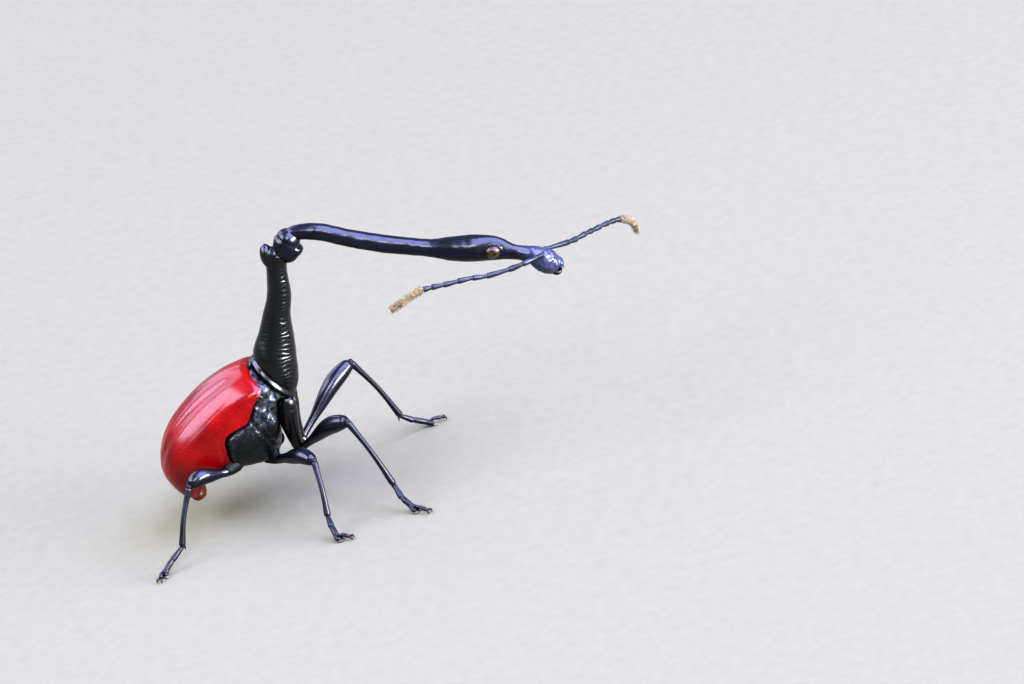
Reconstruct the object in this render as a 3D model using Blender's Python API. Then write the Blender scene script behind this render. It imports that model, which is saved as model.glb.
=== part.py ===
"""A male giraffe weevil at life size, standing on a flat floor. Its neck is raised like a crane's mast and
its long head is held out in front like the jib. +X is forward, +Y is the animal's left and +Z is up."""

import math

import bmesh
import bpy
import numpy as np

# Lengths below are millimetres. MM turns them into metres when a mesh is made.
MM = 0.001

# The clearance that keeps two neighbouring pieces apart.
GAP = 0.25

# The places below are first measured from the middle of the thorax, and this moves them
# so that the origin ends up under the middle of the whole animal.
STANDING_PLACE = np.array((-5.87, -0.16, 0.0))

# The hard outer form of the hind body, from the front edge of the wing cases to their tips.
# Each row is one cross-section: x and z of its back edge, x and z of its belly edge, half width.
HULL = (
    (-0.55, 7.28, 0.45, 5.25, 1.95),
    (-1.90, 7.08, 0.12, 3.55, 2.25),
    (-3.55, 6.32, -0.35, 2.52, 2.40),
    (-5.10, 5.05, -1.60, 2.52, 2.36),
    (-5.87, 3.55, -2.90, 2.42, 2.12),
    (-5.62, 2.35, -3.85, 1.85, 1.58),
    (-5.02, 1.55, -4.40, 1.20, 0.85),
)
HULL_SQUARENESS = 2.25

# The lower edge of the wing cases, in degrees round each cross-section from the seam on the back.
WING_CASE_EDGE = (80, 95, 88, 118, 116, 112, 110)
WING_CASE_THICKNESS = 0.5
BELLY_INSET = 0.08
THORAX_END = 0.56
ABDOMEN_START = 0.595
ABDOMEN_END = 0.985
WING_CASE_END = 0.95

# The neck shield: back edge, front edge and half width of each cross-section, from its base upwards.
NECK = (
    (-0.22, 7.28, 1.20, 5.05, 1.10),
    (-0.05, 7.72, 1.62, 5.90, 1.08),
    (0.16, 8.10, 1.84, 6.95, 0.98),
    (0.50, 8.60, 2.02, 8.00, 0.80),
    (0.90, 9.35, 2.16, 9.00, 0.64),
    (1.40, 10.30, 2.50, 10.05, 0.56),
    (1.76, 11.47, 2.68, 11.35, 0.48),
)

# The ball that the head turns on, and the knob that the neck shield ends in behind it.
BALL_CENTRE = (3.00, 0.0, 12.42)
BALL_RADII = (0.71, 0.66, 0.88)
KNOB_CENTRE = (1.92, 0.0, 12.02)
KNOB_RADII = (0.26, 0.38, 0.64)

# The long head: x, z and radius along its axis, from the neck to just before the eyes' front.
HEAD = (
    (3.98, 12.88, 0.38),
    (4.70, 12.62, 0.40),
    (5.85, 12.00, 0.41),
    (7.40, 11.28, 0.42),
    (9.20, 10.60, 0.41),
    (10.20, 10.28, 0.56),
    (11.20, 10.04, 0.63),
    (12.20, 9.76, 0.57),
    (12.70, 9.46, 0.42),
)
EYE_HALF_WIDTH_SHARE = 0.72
EYE_CENTRE = (12.20, 0.63, 9.86)
EYE_RADII = (0.36, 0.22, 0.34)

# The snout beyond the eyes: x, z and radius.
SNOUT = (
    (12.94, 9.32, 0.35),
    (13.40, 9.15, 0.32),
    (13.85, 8.92, 0.36),
    (14.20, 8.56, 0.50),
    (14.50, 8.30, 0.46),
    (14.80, 8.12, 0.24),
)
JAW_ROUTE = ((14.62, 0.20, 8.20), (14.88, 0.19, 8.04), (15.02, 0.07, 7.95))
JAW_RADII = (0.16, 0.11, 0.04)

# The feelers: each is a stalk, a thread of beads and a club.
FEELER_RADIUS = 0.25
FEELER_ROUTE = {
    "right": (
        (14.30, -0.80, 8.98),
        (13.53, -1.10, 9.16),
        (12.83, -1.30, 9.12),
        (11.70, -1.65, 9.20),
        (10.90, -1.90, 9.39),
        (9.94, -2.20, 9.51),
        (9.04, -2.45, 9.64),
        (8.47, -2.60, 9.62),
        (7.79, -2.70, 9.39),
        (7.15, -2.75, 9.12),
    ),
    "left": (
        (14.52, 0.80, 8.82),
        (15.24, 1.20, 8.68),
        (15.66, 1.80, 8.50),
        (16.10, 2.40, 8.40),
        (16.48, 2.95, 8.27),
        (17.00, 3.65, 8.12),
        (17.48, 4.30, 7.92),
        (17.82, 4.75, 7.66),
        (18.05, 5.25, 7.25),
        (18.12, 5.65, 6.60),
    ),
}
FEELER_PARTS = {"scape": (0.0, 0.13), "funicle": (0.165, 0.70), "club": (0.735, 1.0)}

# The legs: where each one leaves the body, then its hip, knee, ankle, the bend of its foot, its pad and claws.
LEG_JOINTS = {
    "fore_right": ((0.68, -0.50, 2.50), (3.67, -3.00, 4.44), (5.03, -3.90, 1.15),
                   (5.28, -4.40, 0.62), (5.77, -4.85, 0.16), (6.55, -5.45, 0.12)),
    "fore_left": ((0.68, 0.50, 2.50), (3.60, 3.10, 4.68), (5.00, 3.80, 1.05),
                  (5.50, 4.00, 0.58), (6.16, 4.20, 0.16), (6.95, 4.55, 0.12)),
    "middle_right": (None, (1.76, -3.60, 3.15), (1.81, -4.90, 0.81),
                     (1.93, -5.40, 0.48), (2.15, -5.95, 0.16), (2.90, -6.20, 0.12)),
    "middle_left": (None, (-1.72, 3.89, 3.60), (-2.20, 4.90, 1.10),
                    (-2.50, 5.45, 0.58), (-2.75, 5.90, 0.16), (-3.00, 6.60, 0.12)),
    "hind_right": (None, (-4.20, -3.60, 3.37), (-5.22, -4.50, 0.90),
                   (-5.80, -4.90, 0.52), (-6.23, -5.30, 0.16), (-6.45, -5.95, 0.12)),
    "hind_left": (None, (-4.13, 3.63, 3.30), (-4.75, 4.55, 0.90),
                  (-5.05, 5.20, 0.50), (-5.30, 5.75, 0.16), (-5.60, 6.35, 0.12)),
}
FORE_HIP_ROOT = (0.96, 0.50, 4.80)
HIP_PLACES = {"middle": (0.33, 155), "hind": (0.515, 127)}
HIP_RADII = (0.38, 0.38, 0.34)
HIP_DEPTH = 0.16
HIP_REACH = 0.38
FEMUR_RADII = (0.25, 0.27, 0.36, 0.39, 0.33, 0.26)
FORE_FEMUR_RADII = (0.25, 0.28, 0.36, 0.42, 0.36, 0.26)
TIBIA_BOW = 0.12
TIBIA_RADII = (0.25, 0.25, 0.25, 0.27)
FOOT_RADII = (0.21, 0.17, 0.23, 0.16, 0.18, 0.13, 0.10)
PAD_RADII = (0.22, 0.14, 0.15)
PAD_SPREAD = 0.14
CLAW_REACH = 0.22
CLAW_SPREAD = 0.13
CLAW_RADII = (0.09, 0.07, 0.03)

COLOURS = {
    "shell_red": (0.45, 0.01, 0.01, 1.0),
    "shell_black": (0.01, 0.01, 0.013, 1.0),
    "shell_blue_black": (0.015, 0.018, 0.05, 1.0),
    "feeler_tan": (0.55, 0.27, 0.10, 1.0),
    "eye_brown": (0.05, 0.03, 0.02, 1.0),
}


def clear_scene():
    for obj in list(bpy.data.objects):
        bpy.data.objects.remove(obj, do_unlink=True)


def make_materials():
    for name, colour in COLOURS.items():
        material = bpy.data.materials.new(name)
        material.use_nodes = True
        shader = material.node_tree.nodes["Principled BSDF"]
        shader.inputs["Base Color"].default_value = colour
        shader.inputs["Roughness"].default_value = 0.3
        shader.inputs["Metallic"].default_value = 0.0


def along(rows, share):
    """The values at a share from 0 to 1 of the smooth curve through evenly spaced rows."""
    rows = np.asarray(rows, float)
    if rows.ndim == 1:
        rows = rows[:, None]
    position = min(max(share, 0.0), 1.0) * (len(rows) - 1)
    first = min(int(position), len(rows) - 2)
    part = position - first
    start, end = rows[first], rows[first + 1]
    before = rows[first - 1] if first > 0 else 2 * start - end
    after = rows[first + 2] if first + 2 < len(rows) else 2 * end - start
    return (
        start
        + 0.5 * part * (end - before)
        + part**2 * (before - 2.5 * start + 2 * end - 0.5 * after)
        + part**3 * (1.5 * (start - end) + 0.5 * (after - before))
    )


def smooth(rows, count):
    return np.array([along(rows, i / (count - 1)) for i in range(count)])


def unit(vector):
    return vector / np.linalg.norm(vector)


def add_node(name, points, faces, colour):
    """Makes one object from a closed set of faces."""
    mesh = bpy.data.meshes.new(name)
    placed = (np.asarray(points) + STANDING_PLACE) * MM
    mesh.from_pydata([tuple(point) for point in placed], [], faces)
    mesh.materials.append(bpy.data.materials[colour])
    work = bmesh.new()
    work.from_mesh(mesh)
    bmesh.ops.recalc_face_normals(work, faces=work.faces)
    work.to_mesh(mesh)
    work.free()
    mesh.shade_smooth()
    node = bpy.data.objects.new(name, mesh)
    bpy.context.scene.collection.objects.link(node)
    return node


def skin(rings):
    """Points and faces of a stack of rings, closed with a fan at either end."""
    rings = np.asarray(rings)
    stack, around = len(rings), len(rings[0])
    points = [point for ring in rings for point in ring]
    points += [rings[0].mean(axis=0), rings[-1].mean(axis=0)]
    faces = []
    for i in range(around):
        after = (i + 1) % around
        faces.append((stack * around, after, i))
        for level in range(stack - 1):
            low, high = level * around, (level + 1) * around
            faces.append((low + i, low + after, high + after, high + i))
        top = (stack - 1) * around
        faces.append((stack * around + 1, top + i, top + after))
    return points, faces


def section_ring(row, sides, squareness=2.0):
    """An upright cross-section of the body. The row is x and z of its back and belly edges and its half width."""
    back = np.array((row[0], 0.0, row[1]))
    belly = np.array((row[2], 0.0, row[3]))
    centre, up = (back + belly) / 2, (back - belly) / 2
    ring = []
    for i in range(sides):
        angle = 2 * math.pi * i / sides
        high, wide = rounded(angle, squareness)
        ring.append(centre + up * high + np.array((0.0, row[4] * wide, 0.0)))
    return ring


def rounded(angle, squareness):
    """Height and width shares of a point on a round outline, which is squarer above 2."""
    high, wide = math.cos(angle), math.sin(angle)
    power = 2 / squareness
    return math.copysign(abs(high) ** power, high), math.copysign(abs(wide) ** power, wide)


def hull_point(share, angle, inset=0.0):
    """A point of the hind body's outer form, or of one that lies the inset inside it."""
    row = along(HULL, share)
    back = np.array((row[0], 0.0, row[1]))
    belly = np.array((row[2], 0.0, row[3]))
    centre, up = (back + belly) / 2, (back - belly) / 2
    height = np.linalg.norm(up)
    inset = min(inset, 0.6 * height, 0.6 * row[4])
    high, wide = rounded(angle, HULL_SQUARENESS)
    return centre + unit(up) * (height - inset) * high + np.array((0.0, (row[4] - inset) * wide, 0.0))


def hull_normal(share, angle):
    step = 0.01
    length = hull_point(share + step, angle) - hull_point(share - step, angle)
    around = hull_point(share, angle + step) - hull_point(share, angle - step)
    normal = unit(np.cross(around, length))
    centre = (hull_point(share, 0.0) + hull_point(share, math.pi)) / 2
    return normal if normal @ (hull_point(share, angle) - centre) > 0 else -normal


def edge_angle(share):
    return math.radians(along(WING_CASE_EDGE, share)[0])


def wing_case(side):
    """One wing case: a curved shell from the seam on the back to its lower edge, open to the front and below."""
    sign = 1 if side == "left" else -1
    steps, around = 22, 11
    layers = []
    for inset in (0.0, WING_CASE_THICKNESS):
        grid = []
        for i in range(steps):
            share = WING_CASE_END * i / (steps - 1)
            row = []
            for j in range(around):
                point = hull_point(share, edge_angle(share) * j / (around - 1), inset)
                point[1] = sign * max(point[1], GAP / 2)
                row.append(point)
            grid.append(row)
        layers.append(grid)
    points = [point for grid in layers for row in grid for point in row]

    def index(layer, i, j):
        return (layer * steps + i) * around + j

    faces = []
    for i in range(steps - 1):
        for j in range(around - 1):
            for layer in (0, 1):
                faces.append((index(layer, i, j), index(layer, i + 1, j),
                              index(layer, i + 1, j + 1), index(layer, i, j + 1)))
        for j in (0, around - 1):
            faces.append((index(0, i, j), index(0, i + 1, j), index(1, i + 1, j), index(1, i, j)))
    for j in range(around - 1):
        for i in (0, steps - 1):
            faces.append((index(0, i, j), index(0, i, j + 1), index(1, i, j + 1), index(1, i, j)))
    add_node("elytron_" + side, points, faces, "shell_red")


def body_ring(share):
    """A cross-section of the hind body: sunk under the wing cases, and full below their edge."""
    reach = along(HULL, share)[4]
    step = min(edge_angle(share) + GAP / reach, math.radians(150))
    above, below = 7, 6
    half = [(step * i / above, WING_CASE_THICKNESS + GAP) for i in range(above + 1)]
    half += [(step + (math.pi - step) * i / below, BELLY_INSET) for i in range(below + 1)]
    ring = [hull_point(share, angle, inset) for angle, inset in half]
    mirrored = [hull_point(share, -angle, inset) for angle, inset in half[-2:0:-1]]
    return ring + mirrored


def hind_body():
    spans = {"thorax": (0.0, THORAX_END, 12), "abdomen": (ABDOMEN_START, ABDOMEN_END, 11)}
    for name, (start, end, count) in spans.items():
        rings = [body_ring(start + (end - start) * i / (count - 1)) for i in range(count)]
        add_node(name, *skin(rings), "shell_black")


def egg(centre, radii, rows=10, around=16, heading=0.0):
    """Points and faces of an egg with its poles up and down, its first radius turned to a heading."""
    turn = np.array((
        (math.cos(heading), -math.sin(heading), 0.0),
        (math.sin(heading), math.cos(heading), 0.0),
        (0.0, 0.0, 1.0),
    ))
    rings = []
    for i in range(1, rows):
        high = math.pi * i / rows
        rings.append([
            np.array(centre) + turn @ (np.array(radii) * np.array((
                math.sin(high) * math.cos(2 * math.pi * j / around),
                math.sin(high) * math.sin(2 * math.pi * j / around),
                -math.cos(high),
            )))
            for j in range(around)
        ])
    points, faces = skin(rings)
    points[-2] = np.array(centre) - np.array((0.0, 0.0, radii[2]))
    points[-1] = np.array(centre) + np.array((0.0, 0.0, radii[2]))
    return points, faces


def join(node, others):
    """Joins other objects to the node as one closed body."""
    group = bpy.data.collections.new("joined")
    for other in others:
        group.objects.link(other)
    cut = node.modifiers.new("join", "BOOLEAN")
    cut.operation = "UNION"
    cut.operand_type = "COLLECTION"
    cut.collection = group
    cut.solver = "MANIFOLD"
    graph = bpy.context.evaluated_depsgraph_get()
    joined = bpy.data.meshes.new_from_object(node.evaluated_get(graph))
    node.modifiers.clear()
    node.data = joined
    for other in others:
        bpy.data.objects.remove(other, do_unlink=True)
    bpy.data.collections.remove(group)


def neck():
    """The neck shield with the knob at its top, and the ball that the head turns on."""
    rings = [section_ring(row, 20) for row in smooth(NECK, 18)]
    shield = add_node("pronotum", *skin(rings), "shell_black")
    knob = add_node("knob", *egg(KNOB_CENTRE, KNOB_RADII, 10, 12), "shell_black")
    join(shield, [knob])
    add_node("neck_joint", *egg(BALL_CENTRE, BALL_RADII), "shell_blue_black")


def tube_rings(path, radii, sides, wide=None):
    """Rings square to a path. The second one is turned as little as it can be from the first, and so on."""
    tangents = np.gradient(path, axis=0)
    across = np.cross(unit(tangents[0]), (0.0, 0.0, 1.0))
    if np.linalg.norm(across) < 0.2:
        across = np.array((0.0, 1.0, 0.0))
    rings = []
    for i, centre in enumerate(path):
        forward = unit(tangents[i])
        across = unit(across - (across @ forward) * forward)
        up = np.cross(across, forward)
        share = 1.0 if wide is None else wide[i]
        rings.append(np.array([
            centre
            + radii[i] * share * math.cos(2 * math.pi * j / sides) * across
            + radii[i] * math.sin(2 * math.pi * j / sides) * up
            for j in range(sides)
        ]))
    return rings


def end_on_plane(rings, path, point, normal):
    """Ends a stack of rings on a plane: rings that reach past it are dropped and the last is slid onto it."""
    rings, path = list(rings), list(path)
    forward = unit(path[-1] - path[-2])
    if forward @ normal < 0:
        normal = -normal
    while len(rings) > 2 and max((ring_point - point) @ normal for ring_point in rings[-2]) > -0.04:
        del rings[-2]
        del path[-2]
    last = rings[-1]
    slide = ((point - last) @ normal) / (forward @ normal)
    rings[-1] = last + slide[:, None] * forward
    return rings, path


def limb(name, points, radii, colour, start=None, end=None, sides=8, steps=10):
    """A round limb along a smooth path, with its two ends cut to the planes that face its neighbours."""
    path = smooth(points, steps)
    sizes = smooth(radii, steps)[:, 0]
    rings = tube_rings(path, sizes, sides)
    if end is not None:
        rings, path = end_on_plane(rings, path, *end)
    if start is not None:
        rings, path = end_on_plane(rings[::-1], path[::-1], *start)
        rings = rings[::-1]
    return add_node(name, *skin(rings), colour)


def cut_flat(node, point, normal):
    """Cuts off what lies beyond a plane, and closes the cut with a flat face. The normal points at what stays."""
    work = bmesh.new()
    work.from_mesh(node.data)
    everything = work.verts[:] + work.edges[:] + work.faces[:]
    place = (np.asarray(point) + STANDING_PLACE) * MM
    bmesh.ops.bisect_plane(work, geom=everything, plane_co=place, plane_no=normal, clear_inner=True)
    rim = [edge for edge in work.edges if edge.is_boundary]
    bmesh.ops.contextual_create(work, geom=rim)
    bmesh.ops.triangulate(work, faces=work.faces)
    bmesh.ops.recalc_face_normals(work, faces=work.faces)
    work.to_mesh(node.data)
    work.free()


def joint_planes(before, joint, after):
    """The two facing planes at a joint, half the clearance to either side of it."""
    normal = unit(unit(joint - before) + unit(after - joint))
    return (joint - normal * GAP / 2, normal), (joint + normal * GAP / 2, normal)


def fore_hip(name, hip, knee):
    """The long cone that a fore leg hangs from, and the plane that its thigh starts at."""
    sign = 1 if name.endswith("left") else -1
    root = np.array(FORE_HIP_ROOT) * (1, sign, 1)
    down = np.array((0.1, 0.0, -1.0))
    hip_end, femur_start = joint_planes(root, hip, knee)
    limb(f"leg_{name}_coxa", (root, (root + hip) / 2, hip), (0.30, 0.30, 0.27), "shell_black",
         start=(root, unit(down)), end=hip_end, steps=7)
    return hip, femur_start


def hip_ball(name, knee):
    """The hip of a middle or hind leg: a ball with flats to the body and to the thigh, and where the thigh starts."""
    pair, side = name.split("_")
    share, degrees = HIP_PLACES[pair]
    angle = math.radians(degrees) * (1 if side == "left" else -1)
    normal = hull_normal(share, angle)
    root = hull_point(share, angle) + normal * GAP
    centre = root + normal * HIP_DEPTH
    forward = unit(knee - centre)
    hip = centre + forward * HIP_REACH
    ball = add_node(f"leg_{name}_coxa", *egg(centre, HIP_RADII, 8, 12), "shell_black")
    cut_flat(ball, root, normal)
    cut_flat(ball, hip - forward * GAP / 2, -forward)
    return hip, (hip + forward * GAP / 2, forward)


def leg(name):
    hip, knee, ankle, bend, pad, claw = (
        None if point is None else np.array(point) for point in LEG_JOINTS[name]
    )
    fore = name.startswith("fore")
    hip, femur_start = fore_hip(name, hip, knee) if fore else hip_ball(name, knee)
    femur_end, tibia_start = joint_planes(hip, knee, ankle)
    tibia_end, foot_start = joint_planes(knee, ankle, bend)
    rise = np.array((0.0, 0.0, 0.12))
    femur = (hip, hip * 0.67 + knee * 0.33 + rise, hip * 0.33 + knee * 0.67 + rise * 2, knee)
    limb(f"leg_{name}_femur", femur, FORE_FEMUR_RADII if fore else FEMUR_RADII, "shell_blue_black",
         start=femur_start, end=femur_end, sides=10, steps=12)
    away = unit((ankle - hip) * (1, 1, 0))
    shin = (knee, (knee + ankle) / 2 + away * TIBIA_BOW, ankle)
    limb(f"leg_{name}_tibia", shin, TIBIA_RADII, "shell_blue_black", start=tibia_start, end=tibia_end, steps=9)
    foot(name, ankle, bend, pad, claw, foot_start)


def foot(name, ankle, bend, pad, claw, start):
    """A beaded foot with a pad of two lobes and a pair of claws, standing on a small flat."""
    forward = unit((claw - pad) * (1, 1, 0))
    side = np.array((-forward[1], forward[0], 0.0))
    up = np.array((0.0, 0.0, 1.0))
    last = claw - forward * CLAW_REACH
    node = limb(f"leg_{name}_tarsus", (ankle, bend, pad, last), FOOT_RADII, "shell_blue_black",
                start=start, steps=13)
    extras = []
    for sign in (-1, 1):
        lobe = egg(pad + side * sign * PAD_SPREAD, PAD_RADII, 6, 8, math.atan2(forward[1], forward[0]))
        extras.append(add_node("lobe", *lobe, "shell_blue_black"))
        tip = claw + side * sign * CLAW_SPREAD - up * 0.08
        route = (last - forward * 0.05, (last + tip) / 2 + side * sign * 0.04 + up * 0.08, tip)
        extras.append(limb("claw", route, CLAW_RADII, "shell_blue_black", sides=6, steps=5))
    join(node, extras)
    cut_flat(node, -STANDING_PLACE, up)


def feeler(side):
    route = FEELER_ROUTE[side]
    length = len(route) - 1
    for part, (start, end) in FEELER_PARTS.items():
        steps = max(5, round((end - start) * length * 3))
        shares = [start + (end - start) * i / (steps - 1) for i in range(steps)]
        path = np.array([along(route, share) for share in shares])
        radii = [FEELER_RADIUS] * steps
        if part == "club":
            radii[-2:] = [0.20, 0.10]
        rings = tube_rings(path, radii, 8)
        colour = "feeler_tan" if part == "club" else "shell_blue_black"
        add_node(f"antenna_{side}_{part}", *skin(rings), colour)


def head():
    rows = smooth(HEAD, 30)
    path = np.array([(x, 0.0, z) for x, z, _ in rows])
    eye_x = EYE_CENTRE[0]
    wide = [1 - (1 - EYE_HALF_WIDTH_SHARE) * math.exp(-(((x - eye_x) / 0.6) ** 2)) for x in path[:, 0]]
    rings = tube_rings(path, rows[:, 2], 14, wide)
    add_node("head", *skin(rings), "shell_blue_black")


def snout():
    rows = smooth(SNOUT, 16)
    path = np.array([(x, 0.0, z) for x, z, _ in rows])
    rings = tube_rings(path, rows[:, 2], 14)
    node = add_node("rostrum", *skin(rings), "shell_blue_black")
    jaws = [
        limb("jaw", [np.array(point) * (1, sign, 1) for point in JAW_ROUTE], JAW_RADII, "shell_blue_black",
             sides=6, steps=6)
        for sign in (-1, 1)
    ]
    join(node, jaws)


def eye(side):
    """A dome with its flat face to the head."""
    sign = 1 if side == "left" else -1
    around, rows = 14, 4
    centre = np.array(EYE_CENTRE) * (1, sign, 1)
    rings = []
    for i in range(rows):
        rise = math.pi / 2 * i / rows
        rings.append([
            centre + np.array(EYE_RADII) * np.array((
                math.cos(rise) * math.cos(2 * math.pi * j / around),
                sign * math.sin(rise),
                math.cos(rise) * math.sin(2 * math.pi * j / around),
            ))
            for j in range(around)
        ])
    points, faces = skin(rings)
    points[-1] = centre + np.array((0.0, sign * EYE_RADII[1], 0.0))
    add_node("eye_" + side, points, faces, "eye_brown")


clear_scene()
make_materials()
hind_body()
neck()
head()
snout()
for side in ("left", "right"):
    wing_case(side)
    eye(side)
    feeler(side)
for name in LEG_JOINTS:
    leg(name)
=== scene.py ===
# %% [markdown]
# # A giraffe weevil at life size
#
# A giraffe weevil is a beetle about 25 mm from feeler tip to wing case tip. The male carries its head
# on a neck like a crane. Plain solids already give its size and pose, and they load here as a fixed frame.
# This lesson dresses each of them in fine shell: lofted surfaces for the plates, skins fused from simple
# forms where nature has no seam, and small procedural finishes. One frame is shared, so nothing is fitted.

# %% Load the fixed frame
import math

import bmesh
import bpy
import numpy as np
from mathutils import Matrix, Vector, noise


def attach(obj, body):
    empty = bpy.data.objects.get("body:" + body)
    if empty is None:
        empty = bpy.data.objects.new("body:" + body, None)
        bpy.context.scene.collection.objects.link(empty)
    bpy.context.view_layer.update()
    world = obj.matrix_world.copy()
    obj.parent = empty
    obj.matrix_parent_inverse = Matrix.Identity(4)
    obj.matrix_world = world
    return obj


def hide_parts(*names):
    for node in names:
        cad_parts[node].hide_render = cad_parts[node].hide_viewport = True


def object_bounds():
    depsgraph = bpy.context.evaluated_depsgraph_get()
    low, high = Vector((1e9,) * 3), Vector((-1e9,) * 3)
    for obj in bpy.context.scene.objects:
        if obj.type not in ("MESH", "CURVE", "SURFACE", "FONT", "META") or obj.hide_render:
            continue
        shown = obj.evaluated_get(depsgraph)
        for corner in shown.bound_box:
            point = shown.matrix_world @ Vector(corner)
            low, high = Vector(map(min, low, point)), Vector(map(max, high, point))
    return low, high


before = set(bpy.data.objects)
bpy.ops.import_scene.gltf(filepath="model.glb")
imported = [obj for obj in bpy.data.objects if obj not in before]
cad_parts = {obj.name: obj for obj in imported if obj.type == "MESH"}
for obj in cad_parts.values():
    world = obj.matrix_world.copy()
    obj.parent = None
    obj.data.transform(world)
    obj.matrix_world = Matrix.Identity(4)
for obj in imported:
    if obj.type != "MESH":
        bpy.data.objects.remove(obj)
cad_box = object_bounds()
cad_size = [round(1000 * side, 1) for side in cad_box[1] - cad_box[0]]
print("solids:", len(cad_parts), "box in mm:", cad_size)

# %% [markdown]
# ## The camera
#
# A macro lens looks at the animal's right side from a little above, and the camera is rolled, because the
# animal stood on a slope and stands on a level floor here. The camera could be moved by eye until the view
# looks right, but three angles and a distance say the same thing in a form that can be checked. The lens
# length follows from the width of the view at the animal's distance.

# %% Camera
MM = 0.001
LOOK_AT = np.array((5.801, -0.16, 5.012))
AZIMUTH, ELEVATION, ROLL = (math.radians(angle) for angle in (8, 23, 17))
CAMERA_DISTANCE = 230.0
VIEW_WIDTH = 47.41
SENSOR_WIDTH = 36.0


def place_camera():
    """A rolled camera at its distance from the middle of the view, in the direction of the two angles."""
    back = np.array((
        math.sin(AZIMUTH) * math.cos(ELEVATION),
        -math.cos(AZIMUTH) * math.cos(ELEVATION),
        math.sin(ELEVATION),
    ))
    level = np.array((math.cos(AZIMUTH), math.sin(AZIMUTH), 0.0))
    rise = np.cross(back, level)
    right = math.cos(ROLL) * level - math.sin(ROLL) * rise
    up = math.sin(ROLL) * level + math.cos(ROLL) * rise
    matrix = np.eye(4)
    matrix[:3, :3] = np.column_stack((right, up, back))
    matrix[:3, 3] = (LOOK_AT + CAMERA_DISTANCE * back) * MM
    data = bpy.data.cameras.new("macro_camera")
    data.sensor_width = SENSOR_WIDTH
    data.lens = SENSOR_WIDTH * CAMERA_DISTANCE / VIEW_WIDTH
    data.clip_start = 0.01
    data.clip_end = 10.0
    camera = bpy.data.objects.new("macro_camera", data)
    camera.matrix_world = Matrix(matrix.tolist())
    bpy.context.scene.collection.objects.link(camera)
    bpy.context.scene.camera = camera
    return camera


camera = place_camera()
camera_height = round(1000 * camera.matrix_world.translation.z)
print("lens", round(camera.data.lens, 1), "mm, height", camera_height, "mm")

# %% [markdown]
# ## Colours and shader nodes
#
# Paint and print colours are given as sRGB hex, while a renderer adds light in linear values, so one
# function turns the first into the second. Shaders are built from nodes. Adding a node by hand takes a
# line for each setting and link, so one small function adds any kind of node with its settings and links.

# %% Colour and node helpers
def linear(colour):
    """A hex colour as the linear red, green, blue and alpha that a shader takes."""
    parts = [int(colour[i:i + 2], 16) / 255 for i in (1, 3, 5)]
    return tuple(c / 12.92 if c <= 0.04045 else ((c + 0.055) / 1.055) ** 2.4 for c in parts) + (1.0,)


def add(tree, kind, inputs=None, **settings):
    """Adds one node. Each input is a plain value or the output socket that feeds it."""
    made = tree.nodes.new("ShaderNode" + kind)
    for name, value in settings.items():
        setattr(made, name, value)
    for name, value in (inputs or {}).items():
        if isinstance(value, bpy.types.NodeSocket):
            tree.links.new(value, made.inputs[name])
        else:
            made.inputs[name].default_value = value
    return made


def per(size):
    """The texture scale that gives cells of this size in millimetres, as pattern space is in metres."""
    return 1.0 / (size * MM)


print("a scale for 0.1 mm cells:", round(per(0.1)))

# %% [markdown]
# ## The floor and the light
#
# The animal stands on card under soft studio light. A small lamp would give one hard spark on every plate.
# Glossy shell shows the shape of the light instead, so large soft panels are used, each placed where one
# plate mirrors it. A pale one on the left gives the broad band on the wing cases, and a weaker one behind it
# carries the band over the back. A violet-blue one overhead is the sky sheen on the head and thighs. A low
# one on the right is the broken bright line down the neck, and a small one in front lights knees and hips.
# A panel is set by its brightness and not its wattage, so its size can change without changing how bright
# it looks. The card is a mid tone that the bright panels lift to a pale one, so the shell mirrors little of
# it. It has no gloss, which would show the panels as white patches from behind.

# %% Floor
FIBRE_SIZE = 0.6
CARD_TONES = ("#6C6A58", "#75725F")


def card():
    """Matt card with a slight mottle of paper fibres."""
    material = bpy.data.materials.new("pale_card")
    material.use_nodes = True
    tree = material.node_tree
    place = add(tree, "TexCoord").outputs["Object"]
    fibres = add(tree, "TexNoise", {"Vector": place, "Scale": per(FIBRE_SIZE), "Detail": 5.0})
    tone = add(tree, "ValToRGB", {"Fac": fibres.outputs[0]})
    for end, colour in zip(tone.color_ramp.elements, CARD_TONES):
        end.color = linear(colour)
    shader = tree.nodes["Principled BSDF"]
    tree.links.new(tone.outputs[0], shader.inputs["Base Color"])
    shader.inputs["Roughness"].default_value = 0.9
    shader.inputs["Specular IOR Level"].default_value = 0.0
    return material


FLOOR_SIZE = 6000.0
bpy.ops.mesh.primitive_grid_add(x_subdivisions=8, y_subdivisions=8, size=FLOOR_SIZE * MM)
floor = bpy.context.object
floor.name = "floor"
floor.data.materials.append(card())
print("floor", FLOOR_SIZE / 1000, "m across")

# %% Light
PANEL_DISTANCE = 900.0
PANELS = {
    "left_sky": (-74, 46, (765, 675), "#DBDFFF", 10.4),
    "rear_left_sky": (-138, 38, (675, 675), "#DCDCFF", 3.6),
    "overhead_sky": (80, 52, (1000, 880), "#B4BAFF", 13.0),
    "low_right": (66, 9, (720, 300), "#F4F4FF", 42.0),
    "front_sky": (14, 44, (340, 250), "#EEF2FF", 17.0),
}
ROOM_COLOUR = "#C4CBD2"
ROOM_BRIGHTNESS = 0.6


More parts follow.
